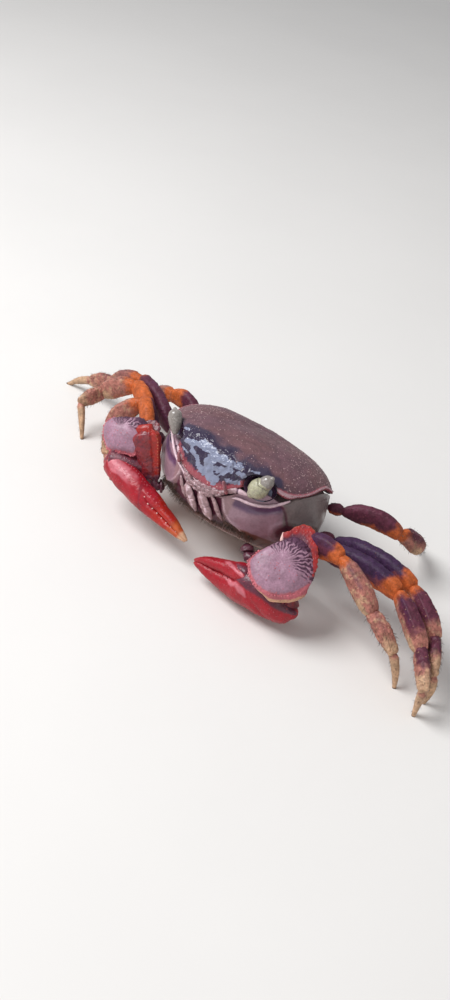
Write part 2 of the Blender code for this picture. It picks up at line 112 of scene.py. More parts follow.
ARM_POSES = {
    "left": dict(shoulder=(13.6, -14.4, 6.6), knee=(22.6, -12.4, 8.4), carpus=(24.0, -18.2, 13.3),
                 face=(0.22, -0.45, 0.85), wrist=(28.7, -18.8, 7.4), tip=(6.0, -21.4, 4.1),
                 up=(0.1, 0.25, 1.0), breadth=(0, 0.2, 1)),
    "right": dict(shoulder=(-13.2, -14.8, 8.0), knee=(-17.6, -13.6, 19.6), carpus=(-23.2, -14.7, 15.8),
                  face=(0.09, -0.6, 0.65), wrist=(-22.3, -19.0, 11.2), tip=(1.9, -20.4, 6.1),
                  up=(0.15, 0.3, 1.0), breadth=(1, 0.9, 0.2)),
}
CLAW_CARPUS = {"left": (6.2, 6.4, 2.8), "right": (3.5, 5.1, 3.2)}
CARPUS_TRIM = {"left": ((-0.887, -0.462), 3.6, 0.7), "right": ((-0.887, -0.462), 9.0, 0.0)}
# Breadth of each arm's two edges as a share of the solid's.
ARM_WIDENING = {"left": (1.0, 1.0), "right": (0.95, 1.7)}
CLAW_HEIGHTS = {"left": 1.0, "right": 0.64}
CLAW_SHOULDERS = {"left": 0.0, "right": 1.5}
SHOULDER_END = 0.45
FINGER_MERGE = 0.35
# The hands' closed fingers, which differ from the solids: share of the length, both edges, half thickness.
HAND = ((-0.03, -0.6, -3.0, 1.3), (0.02, 0.4, -4.3, 2.1), (0.12, 1.6, -5.0, 2.7), (0.3, 3.2, -4.9, 3.1),
        (0.42, 3.3, -4.6, 3.1), (0.5, 2.2, -4.5, 2.9), (0.56, 0.75, -4.2, 2.5), (0.7, 0.42, -3.4, 1.9),
        (0.87, 0.3, -2.2, 1.3), (0.97, 0.0, -1.1, 0.7), (1, -0.35, -0.75, 0.35))
THUMB = ((0.4, 2.9, 0.8, 1.5), (0.46, 3.6, 0.4, 2.3), (0.54, 3.6, 0.3, 2.25), (0.62, 3.2, 0.36, 1.95),
         (0.72, 2.75, 0.44, 1.65), (0.88, 1.85, 0.36, 1.12), (0.97, 0.95, 0.1, 0.6), (1.005, 0.45, 0.05, 0.3))
# The arms' flanges behind the wrists: clock angle from the top and reach from the wrist's centre.
FLANGES = {
    "left": ((-2, 5.2), (4, 6.6), (13, 7.2), (22, 8.6), (32, 9.9), (41, 9.8), (50, 9.1), (67, 7.8), (90, 6.9),
             (113, 6.5)),
    "right": ((46, 4.4), (56, 6.2), (70, 7.3), (90, 7.0), (110, 6.2), (132, 5.4), (150, 4.2)),
}
FLANGE_LIFTS = {"left": 1.0, "right": -1.2}
# The right wrist's outline is squarer than the solid's: clock angle and share of the solid's reach.
RIGHT_OUTLINE = ((0, 0.68), (30, 0.86), (62, 1.45), (90, 1.32), (120, 1.16), (156, 1.12), (180, 0.98),
                 (205, 1.12), (228, 1.4), (250, 1.28), (270, 1.18), (299, 0.95), (330, 0.74), (360, 0.68))
# Beads along the wrists' edges: clock angles of the middle and half the span, pitch and radius.
BEAD_SPANS = {
    "left": ((272, 44, 0.62, 0.27), (185, 36, 0.6, 0.22)),
    "right": ((255, 62, 0.6, 0.24), (175, 30, 0.5, 0.2)),
}
EYE_CENTRES = {"left": (0.3, -0.34, -0.008), "right": (-0.3155, -0.34, 0.03)}
EYE_SCALES = {"left": 1.0, "right": 0.8}
EYE_DIRECTION = (0.49, 0.0, 0.87)
EYE_LENGTHS = {"left": 5.6, "right": 4.7}
# The eyestalks' own outlines, unlike the solids'.
EYE_SHAPES = {
    "left": ((0, 1.0, 1.0), (0.1, 1.6, 1.6), (0.33, 2.05, 2.05), (0.52, 1.85, 1.85), (0.63, 1.5, 1.5),
             (0.76, 1.42, 1.42), (0.88, 1.2, 1.2), (0.96, 0.85, 0.85), (1, 0.5, 0.5)),
    "right": ((0, 0.9, 0.9), (0.15, 1.35, 1.35), (0.4, 1.75, 1.75), (0.62, 1.85, 1.85), (0.8, 1.65, 1.65),
              (0.92, 1.15, 1.15), (1, 0.5, 0.5)),
}
# The eye sockets are smaller than the solids', and lie further out and lower.
ORBIT_CENTRE = (0.318, -0.365, -0.028)
ORBIT_RADII = (4.1, 3.9, 2.9)
ANTENNA_ROOT = (0.163, -0.39, -0.12)
ANTENNA_END = (0.15, -0.44, -0.065)


def paint(red, green, blue):
    """A colour given as it shows on a screen, 0 to 255, in linear light."""
    shares = [value / 255 for value in (red, green, blue)]
    return tuple(s / 12.92 if s <= 0.04045 else ((s + 0.055) / 1.055) ** 2.4 for s in shares)


def shade(name, description, *screen):
    return bpy.props.FloatVectorProperty(name=name, description=description, subtype="COLOR", size=3,
                                         min=0, max=1, default=paint(*screen))


def length(name, description, default):
    return bpy.props.FloatProperty(name=name, description=description, default=default, min=0)


class CrabBodySizes(bpy.types.PropertyGroup):
    """Sizes of the shell and the body under it, in millimetres."""

    width: length("Width", "Driving width of the shell, in millimetres", 40.0)
    half_width: length("Half width", "Share of the width from the middle to one side", 0.485)
    front: length("Front", "Share of the width from the middle to the front", 0.415)
    rear: length("Rear", "Share of the width from the middle to the rear", 0.312)
    dome: length("Dome", "Share of the width that the shell rises", 0.13)
    belly: length("Belly", "Share of the width that the body hangs below the shell's edge", 0.392)
    groove_depth: length("Groove depth", "Depth of the grooves between the shell's regions", 0.1)
    granule: length("Granule", "Radius of the shell's largest granules, in millimetres", 0.17)
    granule_count: bpy.props.IntProperty(name="Granules", description="Number of large and of small granules",
                                         default=1400, min=1)


class CrabLimbSizes(bpy.types.PropertyGroup):
    """Sizes of what grows on the legs and claws, in millimetres."""

    bead: length("Bead", "Radius of the beads along the claws' edges", 0.2)
    bristle: length("Bristle", "Length of the bristles on the legs", 0.95)
    bristle_radius: length("Bristle radius", "Radius of a bristle at its root", 0.035)
    fringe: length("Fringe", "Length of the hairs round the mouth", 1.5)


class CrabColours(bpy.types.PropertyGroup):
    """Colours of the shell, the claws, the legs and the stage."""

    shell: shade("Shell", "Purple-brown of the back", 104, 72, 80)
    shell_warm: shade("Shell, warm", "Warmer brown in the middle of the back", 112, 77, 80)
    shell_front: shade("Shell, front", "Blue-black of the wet front", 52, 42, 64)
    # Painted reflection: the pale blue-grey patches of light that the wet front and the eye sockets reflect,
    # painted into their colour.
    pool: shade("Pools", "Pale blue-grey bloom on the wet front", 128, 132, 154)
    margin: shade("Margin", "Pink-red of the shell's edge", 148, 70, 80)
    speck: shade("Specks", "Pale tips of the granules", 176, 146, 146)
    cheek: shade("Cheek", "Smooth mauve below the eyes", 150, 118, 130)
    violet: shade("Violet", "Violet under the eyes", 92, 62, 92)
    side: shade("Side", "Greenish grey of the side walls", 122, 108, 106)
    flesh: shade("Flesh", "Pinkish brown round the mouth", 144, 112, 116)
    bronze: shade("Bronze", "Brown-orange at the bottom of the cheeks", 116, 72, 60)
    belly: shade("Belly", "Pale pinkish buff of the underside", 186, 152, 140)
    rim: shade("Rim", "Pale pink of the eye sockets' lower rims", 206, 176, 184)
    socket: shade("Socket", "Dark violet of the eye sockets", 44, 28, 48)
    eye: shade("Eye", "Pale yellow-green of the eyestalks", 166, 162, 134)
    cornea: shade("Cornea", "Grey of the corneas", 138, 130, 124)
    crimson: shade("Crimson", "Red of the claws", 152, 12, 30)
    # Partly the claws' own pink and partly a painted highlight: the paler pink streaks and patches where
    # light falls on the hands' upper faces and the wrists.
    palm_pink: shade("Palm pink", "Pink of the claws' upper faces", 186, 98, 108)
    claw_tip: shade("Claw tip", "Tan of the claws' tips", 196, 150, 118)
    wrist: shade("Wrist", "Mauve of the claws' carpi", 150, 112, 130)
    wrist_dark: shade("Wrist, dark", "Plum of the carpi's wrinkles", 80, 46, 68)
    # Plum in the carpi's wrinkles, partly their own colour and partly painted shade in the folds' hollows and
    # on the facet turned from the light.
    arm: shade("Arm", "Orange-red of the claws' arms", 160, 28, 18)
    orange: shade("Orange", "Orange of the legs' joints", 180, 88, 42)
    # Dark maroon: the legs' and claws' own colour, also used as painted shade round the leg holes, in the
    # mouth's hollow, on the left hand behind its highlight and on the claws' arms below their tops.
    maroon: shade("Maroon", "Dark maroon of the upper legs", 88, 40, 56)
    navy: shade("Navy", "Blue-purple along the top of the legs", 58, 34, 64)
    salmon: shade("Salmon", "Orange-pink of the lower legs", 162, 104, 92)
    tan: shade("Tan", "Yellowish tan of the legs' tips", 184, 148, 118)
    bristle: shade("Bristles", "Dark brown of the bristles", 58, 40, 30)
    # Dark maroon of real grooves, seams, gaps and blotches, also used as painted shade under the shell's edge
    # and in the hollows and on the undersides of the face's ridges and mouthparts.
    groove: shade("Grooves", "Dark maroon of grooves and gaps", 50, 24, 34)
    tooth: shade("Beads", "Pinkish white of beads and teeth", 222, 178, 172)
    floor: shade("Floor", "Pale floor", 226, 222, 218)


def sizes():
    return bpy.context.scene.crab_body


def limb_sizes():
    return bpy.context.scene.crab_limbs


def colour(name):
    return np.array(getattr(bpy.context.scene.crab_colours, name)[:3])


# ---- geometry


def unit(vectors):
    vectors = np.asarray(vectors, float)
    return vectors / np.maximum(np.linalg.norm(vectors, axis=-1, keepdims=True), 1e-9)


def step(low, high, value):
    """0 below low, 1 above high and smooth between them."""
    share = np.clip((value - low) / (high - low), 0, 1)
    return share * share * (3 - 2 * share)


def hump(value, centre, width):
    """1 at the centre, falling away smoothly to either side."""
    return np.exp(-(((value - centre) / width) ** 2))


def wobble(points, size, seed):
    """Smooth noise from about -1 to 1 whose lumps are size millimetres across."""
    offset = Vector((seed * 7.31, seed * 3.17, seed * 5.71))
    flat = points.reshape(-1, 3) / size
    found = [noise.noise(Vector(p) + offset) for p in flat]
    return np.array(found).reshape(points.shape[:-1])


def lumps(points, *layers):
    """Layers of noise on a skin, each given as its height, its lumps' size and its seed."""
    return sum(height * wobble(points, size, seed) for height, size, seed in layers)


def circle(count):
    """Evenly spaced turns, from 0."""
    return TAU * np.arange(count) / count


def rounded(turn, power):
    """Cosine and sine of a superellipse, squarer as the power grows."""
    c, s = np.cos(turn), np.sin(turn)
    return np.sign(c) * np.abs(c) ** (2 / power), np.sign(s) * np.abs(s) ** (2 / power)


def interpolated(places, walk, points):
    """Points at the given places along a row whose own points lie at walk."""
    return np.array([np.interp(places, walk, points[:, k]) for k in range(3)]).T


def profile(stations, share):
    """Smooth curves through the stations that don't overshoot them, one for each measure."""
    table = np.array(stations, float)
    places, values = table[:, 0], table[:, 1:]
    spans = np.diff(places)
    slopes = np.diff(values, axis=0) / spans[:, None]
    tangents = np.zeros_like(values)
    same = slopes[:-1] * slopes[1:] > 0
    total = np.where(same, slopes[:-1] + slopes[1:], 1)
    tangents[1:-1] = np.where(same, 2 * slopes[:-1] * slopes[1:] / total, 0)
    tangents[0], tangents[-1] = slopes[0], slopes[-1]
    k = np.clip(np.searchsorted(places, share, side="right") - 1, 0, len(places) - 2)
    w = ((share - places[k]) / spans[k])[:, None]
    span = spans[k][:, None]
    return (values[k] * (1 + 2 * w) * (1 - w) ** 2 + values[k + 1] * w * w * (3 - 2 * w)
            + tangents[k] * span * w * (1 - w) ** 2 - tangents[k + 1] * span * w * w * (1 - w)).T


def near_line(points, line):
    """Distance of flat points from a line through a few corners."""
    line = np.array(line, float)
    best = np.full(points.shape[:-1], 1e9)
    for start, end in zip(line, line[1:]):
        run = end - start
        share = np.clip(((points - start) @ run) / (run @ run), 0, 1)
        best = np.minimum(best, np.linalg.norm(points - start - share[..., None] * run, axis=-1))
    return best


def stroke(points, line, width):
    """1 along a line through a few corners, fading out over that width."""
    return hump(near_line(points, line), 0, width)


def grid_normals(grid):
    """Outward normals of a grid whose columns close on themselves."""
    down = np.gradient(grid, axis=0)
    across = np.roll(grid, -1, axis=1) - np.roll(grid, 1, axis=1)
    normals = unit(np.cross(across, down))
    middle = grid.mean(axis=(0, 1))
    outward = np.einsum("ijk,ijk->ij", normals, grid - middle).mean()
    return normals if outward > 0 else -normals


def spread_at(latitude, c, s):
    """How far the body reaches out at a latitude, as a share of its reach at its edge."""
    sideways = c * c * np.minimum(1, 1 + s)
    belly = BELLY_FULLNESS["ends"] * (1 - sideways) + BELLY_FULLNESS["sides"] * sideways
    fullness = np.where(latitude >= 0, DOME_FULLNESS, belly)
    below = np.clip(latitude / (2 * SWELL_LATITUDE), 0, 1)
    swell = 1 + SIDE_SWELL * sideways * np.sin(np.pi * below)
    return np.maximum(np.cos(np.radians(latitude)), 1e-6) ** fullness * swell


def body_points(azimuth, latitude, grow=0.0):
    """Points of the body's skin in its own frame. Azimuth 0 is its left and -90 its front."""
    body = sizes()
    azimuth, latitude = np.broadcast_arrays(np.asarray(azimuth, float), np.asarray(latitude, float))
    turn, rise = np.radians(azimuth), np.radians(latitude)
    c, s = np.cos(turn), np.sin(turn)
    spread = spread_at(latitude, c, s)
    reach = np.where(s < 0, body.front, body.rear) * body.width
    height = np.where(latitude >= 0, body.dome, body.belly) * body.width
    return np.stack([c * (body.half_width * body.width + grow) * spread, s * (reach + grow) * spread,
                     np.sin(rise) * (height + grow)], axis=-1)


def margin_latitude(azimuth):
    """The shell's edge droops between and outside the eyes and rises over the cheeks as a ridge."""
    turn = np.radians(np.asarray(azimuth, float))
    across = np.abs(np.cos(turn))
    middle = FRONT_DROOP * np.exp(-((across / FRONT_DROOP_END) ** 4))
    corner = CORNER_DROOP * hump(across, CORNER_PLACE, CORNER_SPREAD)
    return RIDGE_RISE * across ** RIDGE_STEEPNESS - np.where(np.sin(turn) < 0, middle + corner, 0.0)


def to_floor(points):
    """From the body's own frame to the floor's frame."""
    pitch = Matrix.Rotation(math.radians(-BODY_PITCH), 3, "X")
    return np.asarray(points) @ np.array(pitch).T + np.array([0, 0, BODY_HEIGHT])


def turned(vectors):
    return to_floor(vectors) - to_floor(np.zeros(3))


def frame_along(start, end, up):
    along = unit(end - start)
    side = unit(np.cross(along, up))
    return along, unit(np.cross(side, along)), side


def stand_shift():
    """Where the floor's frame lies in the model's: from a foot of the solid model."""
    foot = [v.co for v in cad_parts["leg_left_1_dactyl"].data.vertices if v.co.z < 1e-5]
    centre = sum(foot, Vector()) / len(foot) / MM
    tip = LEG_POSES["left_1"][3]
    return np.array([centre.x - tip[0], centre.y - tip[1], 0.0])


def oval_rings(centres, up, side, high, low, half, turn, power):
    """Rings of superellipses whose tops and bottoms lie at their own distances from the centres."""
    across, upward = rounded(turn, power)
    middle = (high + low) / 2
    reach = (high - low) / 2
    return (centres[:, None] + side * (half[:, None] * across)[..., None]
            + up * (middle[:, None] + reach[:, None] * upward)[..., None])


def woven(rows, columns):
    """Indices of a grid whose columns close on themselves, those to their right, and its faces."""
    index = np.arange(rows * columns).reshape(rows, columns)
    right = np.roll(index, -1, axis=1)
    return index, right, np.stack([index[:-1], right[:-1], right[1:], index[1:]], axis=-1).reshape(-1, 4)


class Skin:
    """A grid of points with closed columns, capped by a point at each end, and the marks painted on it.

    A mark is a share from 0 to 1 at each point, and a finish lays its own colour wherever it is.
    """

    def __init__(self, grid, first, last, share=None, turn=None):
        rows, columns = grid.shape[:2]
        share = np.linspace(0, 1, rows) if share is None else share
        turn = circle(columns) if turn is None else turn
        self.grid, self.first, self.last = grid, np.asarray(first), np.asarray(last)
        self.share = np.broadcast_to(np.asarray(share)[:, None], (rows, columns))
        self.turn = np.broadcast_to(np.asarray(turn)[None], (rows, columns))
        self.marks = {}

    def raise_by(self, height):
        self.grid = self.grid + grid_normals(self.grid) * height[..., None]
        return self

    def mark(self, name, share):
        share = np.broadcast_to(share, self.grid.shape[:2])
        self.marks[name] = np.clip(np.maximum(self.marks.get(name, 0.0), share), 0, 1)
        return self

    def parts(self):
        """Points, faces that look outwards and marks, with the two end points last."""
        rows, columns = self.grid.shape[:2]
        index, right, quads = woven(rows, columns)
        faces = quads.tolist()
        faces += [(rows * columns, b, a) for a, b in zip(index[0].tolist(), right[0].tolist())]
        faces += [(rows * columns + 1, a, b) for a, b in zip(index[-1].tolist(), right[-1].tolist())]
        k = rows // 2
        a, b, c = self.grid[k, 0], self.grid[k, 1], self.grid[k + 1, 1]
        if np.cross(b - a, c - a) @ grid_normals(self.grid)[k, 0] < 0:
            faces = [face[::-1] for face in faces]
        points = np.concatenate([self.grid.reshape(-1, 3), [self.first, self.last]])
        marks = {name: np.concatenate([m.reshape(-1), [m[0].mean(), m[-1].mean()]])
                 for name, m in self.marks.items()}
        return points, faces, marks


class Studs:
    """Many small domes or beads set on a skin, as one set of points."""

    def __init__(self, centres, normals, radii, height=1.0, rows=3, columns=7, **marks):
        centres, normals = np.asarray(centres, float), unit(normals)
        radii = np.broadcast_to(np.asarray(radii, float), len(centres))
        across = unit(np.cross(normals, [0.31, 0.87, 0.39]))
        other = np.cross(normals, across)
        rise = np.radians(np.linspace(-35, 90, rows + 1)[:-1])
        turn = circle(columns)
        rings = (across[:, None, None] * (np.cos(rise)[:, None] * np.cos(turn))[None, ..., None]
                 + other[:, None, None] * (np.cos(rise)[:, None] * np.sin(turn))[None, ..., None]
                 + normals[:, None, None] * height * (np.sin(rise)[:, None] + 0 * turn)[None, ..., None])
        rings = rings.reshape(len(centres), rows * columns, 3)
        ends = np.stack([normals * height, -normals * height * 0.6], axis=1)
        self.points = centres[:, None] + np.concatenate([rings, ends], axis=1) * radii[:, None, None]
        self.rows, self.columns, self.marks = rows, columns, marks

    def parts(self):
        count = self.rows * self.columns + 2
        index, right, quads = woven(self.rows, self.columns)
        top = np.stack([index[-1], right[-1], np.full(self.columns, count - 2)], axis=-1)
        base = np.stack([right[0], index[0], np.full(self.columns, count - 1)], axis=-1)
        offsets = np.arange(len(self.points)) * count
        faces = []
        for block in (quads, top, base):
            faces += (block[None] + offsets[:, None, None]).reshape(-1, block.shape[1]).tolist()
        marks = {name: np.repeat(np.broadcast_to(value, len(self.points)), count)
                 for name, value in self.marks.items()}
        return self.points.reshape(-1, 3), faces, marks


def lofted(start, end, stations, up, rows=56, columns=44, power=2.3, scale=1.0, bow=0.0, bulge=0.5,
           edges=False):
    """A skin round a segment. Its ends are domed by bulge times their own radius."""
    start, end = np.asarray(start, float), np.asarray(end, float)
    along, upward, side = frame_along(start, end, np.asarray(up, float))
    low_share, high_share = stations[0][0], stations[-1][0]
    share = np.linspace(low_share, high_share, rows)
    measures = profile(stations, share) * scale
    high, low, half = measures if edges else (measures[0], -measures[0], measures[1])
    centres = start + share[:, None] * (end - start) + upward * (bow * 4 * share * (1 - share))[:, None]
    turn = circle(columns)
    grid = oval_rings(centres, upward, side, high, low, half, turn, power)
    middles = [grid[k].mean(axis=0) for k in (0, -1)]
    reaches = [along * (bulge * np.linalg.norm(grid[k] - middles[k], axis=1).min() * sign)
               for k, sign in ((0, -1), (-1, 1))]
    return capped(grid, middles, reaches, share, turn)


def dome(ring, middle, reach):
    """Rings that close a skin's last one over a low dome, and the dome's tip."""
    rings = [middle + (ring - middle) * math.cos(rise) + reach * math.sin(rise) for rise in DOME_RISES]
    return rings, middle + reach


def capped(grid, middles, reaches, share, turn):
    """A skin whose first and last rings are closed by domes."""
    (before, first), (after, last) = (dome(grid[k], middles[k], reaches[k]) for k in (0, -1))
    share = np.concatenate([[share[0]] * len(before), share, [share[-1]] * len(after)])
    return Skin(np.concatenate([before[::-1], grid, after]), first, last, share, turn)


def tube(path, radii, columns=12, bulge=0.6, flat=1.0, up=(0.13, 0.21, 1.0)):
    """A skin round a bent line. Its height is flat times its radius."""
    path = np.asarray(path, float)
    along = unit(np.gradient(path, axis=0))
    side = unit(np.cross(along, np.asarray(up, float)))
    upward = np.cross(side, along)
    turn = circle(columns)
    radii = np.broadcast_to(np.asarray(radii, float), len(path))[:, None, None]
    grid = path[:, None] + radii * (side[:, None] * np.cos(turn)[None, :, None]
                                    + upward[:, None] * flat * np.sin(turn)[None, :, None])
    middles = [path[0], path[-1]]
    reaches = [along[k] * (bulge * radii[k, 0, 0] * sign) for k, sign in ((0, -1), (-1, 1))]
    return capped(grid, middles, reaches, np.linspace(0, 1, len(path)), turn)


def scatter(skin, count, weight, seed, low, high, height=0.6, **marks):
    """Studs at random places of a skin, more of them where the weight is high."""
    rng = np.random.default_rng(seed)
    normals = grid_normals(skin.grid)
    down = np.gradient(skin.grid, axis=0)
    across = (np.roll(skin.grid, -1, axis=1) - np.roll(skin.grid, 1, axis=1)) / 2
    area = np.linalg.norm(np.cross(down, across), axis=-1) * np.broadcast_to(weight, skin.grid.shape[:2])
    chance = area.ravel() / area.sum()
    found = rng.choice(chance.size, size=count, p=chance)
    shift = rng.uniform(-0.5, 0.5, (count, 2))
    points = (skin.grid.reshape(-1, 3)[found] + down.reshape(-1, 3)[found] * shift[:, :1]
              + across.reshape(-1, 3)[found] * shift[:, 1:])
    radii = low + (high - low) * rng.random(count) ** 2.2
    return Studs(points, normals.reshape(-1, 3)[found], radii, height, rows=2, columns=6, **marks)


def linked(name, data):
    made = bpy.data.objects.new(name, data)
    bpy.context.scene.collection.objects.link(made)
    return made


def dressed(name, mesh, look, slot):
    """Smooths a mesh, gives it its finish and makes it a piece that rides on the crab's only body."""
    mesh.shade_smooth()
    mesh.materials.append(finish(look))
    made = linked(name, mesh)
    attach(made, "root")
    return made


def placed(points):
    """Points of the floor's frame in metres in the model's, as lists."""
    return ((points + stand_shift()) * MM).tolist()


def make_piece(name, skins, look, slot, *replaced):
    """One piece from a few skins, in metres in the model's frame, riding on the crab's only body."""
    points, faces, marks, offset = [], [], {}, 0
    found = [skin.parts() for skin in (skins if isinstance(skins, list) else [skins])]
    for part in found:
        points.append(part[0])
        faces += [[i + offset for i in face] for face in part[1]] if offset else part[1]
        offset += len(part[0])
    for mark in sorted({m for part in found for m in part[2]}):
        marks[mark] = np.concatenate([part[2].get(mark, np.zeros(len(part[0]))) for part in found])
    mesh = bpy.data.meshes.new(name)
    mesh.from_pydata(placed(np.concatenate(points)), [], faces)
    for mark, share in marks.items():
        layer = mesh.attributes.new(mark, "FLOAT", "POINT")
        layer.data.foreach_set("value", share.astype(np.float32))
    made = dressed(name, mesh, look, slot)
    if replaced:
        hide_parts(*replaced)


# ---- finishes


class Finish:
    """One procedural material, laid up from its base colour."""

    def __init__(self, name, base, roughness, gloss=0.5, coat=0.0):
        self.material = bpy.data.materials.new("crab_" + name)
        self.material.use_nodes = True
        self.tree = self.material.node_tree
        self.shader = self.tree.nodes["Principled BSDF"]
        self.place = self.add("ShaderNodeTexCoord").outputs["Object"]
        self.shader.inputs["Specular IOR Level"].default_value = gloss
        self.shader.inputs["Coat Weight"].default_value = coat
        self.shader.inputs["Coat Roughness"].default_value = 0.12
        start = self.add("ShaderNodeRGB")
        start.outputs[0].default_value = (*colour(base), 1)
        self.colour = start.outputs[0]
        self.roughness = self.between(self.noise(3.0), 0.3, 0.7, roughness - 0.06, roughness + 0.06)
        self.heights = []

    def add(self, kind, **settings):
        made = self.tree.nodes.new(kind)
        for key, value in settings.items():
            setattr(made, key, value)
        return made

    def feed(self, socket, value):
        if isinstance(value, bpy.types.NodeSocket):
            self.tree.links.new(value, socket)
        else:
            socket.default_value = value

    def noise(self, size, detail=3.0, twist=0.0):
        """Noise from 0 to 1 with lumps of that size in millimetres."""
        made = self.add("ShaderNodeTexNoise")
        self.feed(made.inputs["Vector"], self.place)
        made.inputs["Scale"].default_value = 1 / (size * MM)
        made.inputs["Detail"].default_value = detail
        made.inputs["Distortion"].default_value = twist
        return made.outputs["Fac"]

    def cells(self, size, feature="F1"):
        made = self.add("ShaderNodeTexVoronoi", feature=feature)
        self.feed(made.inputs["Vector"], self.place)
        made.inputs["Scale"].default_value = 1 / (size * MM)
        return made.outputs["Distance"]

    def sum(self, first, second, operation="ADD"):
        made = self.add("ShaderNodeMath", operation=operation)
        self.feed(made.inputs[0], first)
        self.feed(made.inputs[1], second)
        return made.outputs[0]

    def between(self, value, low, high, to_low=0.0, to_high=1.0):
        made = self.add("ShaderNodeMapRange", interpolation_type="SMOOTHSTEP")
        for socket, given in zip(made.inputs, (value, low, high, to_low, to_high)):
            self.feed(socket, given)
        return made.outputs[0]

    def mark(self, name, ragged=0.0, size=0.8, low=0.0, high=1.0):
        """A mark painted on the mesh, with its edge broken up by noise."""
        share = self.add("ShaderNodeAttribute", attribute_name=name).outputs["Fac"]
        if ragged:
            wander = self.sum(self.sum(self.noise(size), 0.5, "SUBTRACT"), ragged, "MULTIPLY")
            share = self.sum(share, self.sum(wander, self.between(share, 0.0, 0.25), "MULTIPLY"))
        return self.between(share, low, high)

    def lay(self, name, share, blend="MIX"):
        """Lays a colour over what is there."""
        made = self.add("ShaderNodeMix", data_type="RGBA", blend_type=blend)
        self.feed(made.inputs[0], share)
        self.feed(made.inputs[6], self.colour)
        self.feed(made.inputs[7], (*colour(name), 1) if isinstance(name, str) else (*name, 1))
        self.colour = made.outputs[2]
        return self

    def tint(self, name, *edge):
        """Lays a colour where the mark of the same name is."""
        return self.lay(name, self.mark(name, *edge))

    def mottle(self, size, amount, detail=3.0):
        """Darker and lighter patches of that size."""
        low, high = 1 - amount, 1 + amount
        made = self.add("ShaderNodeHueSaturation")
        self.feed(made.inputs["Value"], self.between(self.noise(size, detail), 0.3, 0.7, low, high))
        self.feed(made.inputs["Color"], self.colour)
        self.colour = made.outputs["Color"]
        return self

    def wet(self, share, roughness):
        made = self.add("ShaderNodeMix", data_type="FLOAT")
        self.feed(made.inputs[0], share)
        self.feed(made.inputs[2], self.roughness)
        self.feed(made.inputs[3], roughness)
        self.roughness = made.outputs[0]
        return self

    def rise(self, height, depth):
        """A bump whose height runs from 0 to 1 times that depth in millimetres."""
        self.heights.append((height, depth))
        return self

    def pebbles(self, size, reach, depth):
        """Rounded cells of that size, whose tops fall away over reach of it."""
        return self.rise(self.between(self.cells(size), 0.0, reach, 1, 0), depth)

    def done(self):
        normal = None
        for height, depth in self.heights:
            bump = self.add("ShaderNodeBump")
            bump.inputs["Distance"].default_value = depth * MM
            self.feed(bump.inputs["Height"], height)
            if normal:
                self.feed(bump.inputs["Normal"], normal)
            normal = bump.outputs["Normal"]
        if normal:
            self.feed(self.shader.inputs["Normal"], normal)
        self.feed(self.shader.inputs["Base Color"], self.colour)
        self.feed(self.shader.inputs["Roughness"], self.roughness)
        return self.material


def shell_finish():
    made = Finish("shell", "shell", 0.56, gloss=0.42)
    made.lay("shell_warm", made.between(made.noise(8.0), 0.42, 0.64, 0, 0.8))
    made.mottle(1.7, 0.13).mottle(0.45, 0.1, 2)
    made.tint("groove", 0.3, 0.6, 0.0, 1.1)
    made.tint("shell_front", 0.55, 1.3, 0.25, 0.8)
    made.tint("margin", 0.7, 0.7, 0.35, 0.8)
    made.lay("rim", made.mark("tooth", 0.5, 0.6, 0.4, 1.1))
    made.lay("tooth", made.sum(made.mark("margin", 0, 1, 0.75, 1.0), made.between(
        made.cells(0.6), 0.3, 0.1), "MULTIPLY"))
    # Painted reflection: pale patches of reflected light on the wet front.
    made.tint("pool", 0.5, 0.5, 0.42, 0.6)
    made.tint("speck", 0, 1, 0.0, 1.0)
    made.wet(made.mark("wet", 0.3, 0.8, 0.2, 0.7), 0.13)
    made.pebbles(0.42, 0.6, 0.045)
    made.rise(made.noise(0.9, 5), 0.06)
    return made.done()


def cheek_finish():
    made = Finish("cheek", "cheek", 0.36, gloss=0.5, coat=0.15)
    made.tint("side", 0.3, 1.2, 0.2, 0.8)
    made.tint("violet", 0.35, 1.4, 0.15, 0.9)
    made.tint("belly", 0.3, 1.5, 0.2, 0.8)
    made.tint("bronze", 0.6, 1.1, 0.2, 0.85)
    made.tint("flesh", 0.5, 0.8, 0.25, 0.75)
    made.tint("maroon", 0.4, 0.7, 0.2, 0.9)
    made.tint("rim", 0.4, 0.4, 0.3, 0.7)
    made.mottle(2.6, 0.1).mottle(0.5, 0.07, 2)
    made.rise(made.noise(1.1, 5), 0.06)
    made.pebbles(0.35, 0.6, 0.02)
    return made.done()


def socket_finish():
    made = Finish("socket", "socket", 0.16, gloss=0.6, coat=0.5)
    made.lay("violet", made.between(made.noise(1.6), 0.4, 0.7, 0, 0.5))
    made.tint("violet", 0.4, 0.8, 0.2, 0.8)
    # Painted reflection: a pale streak of reflected light on the socket's wet wall.
    made.tint("pool", 0.5, 0.6, 0.4, 0.6)
    made.rise(made.noise(0.9, 4), 0.08)
    return made.done()


def rim_finish():
    made = Finish("rim", "rim", 0.4)
    made.tint("violet", 0.5, 0.5, 0.3, 0.7)
    made.tint("flesh", 0.4, 0.6, 0.2, 0.8)
    made.mottle(0.8, 0.14)
    made.rise(made.noise(0.5, 4), 0.06)
    return made.done()


def eye_finish():
    made = Finish("eye", "eye", 0.3, gloss=0.55, coat=0.3)
    made.tint("cornea", 0.3, 0.5, 0.3, 0.7)
    made.lay("socket", made.sum(made.mark("crease", 0, 1, 0.1, 1.0), 0.75, "MULTIPLY"))
    made.lay("side", made.sum(made.between(made.noise(0.7, 4), 0.5, 0.68), 0.5, "MULTIPLY"))
    made.tint("side", 0.4, 0.6)
    made.mottle(0.6, 0.12).mottle(0.25, 0.08, 2)
    made.wet(made.mark("cornea"), 0.12)
    made.rise(made.noise(0.45, 4), 0.06)
    return made.done()


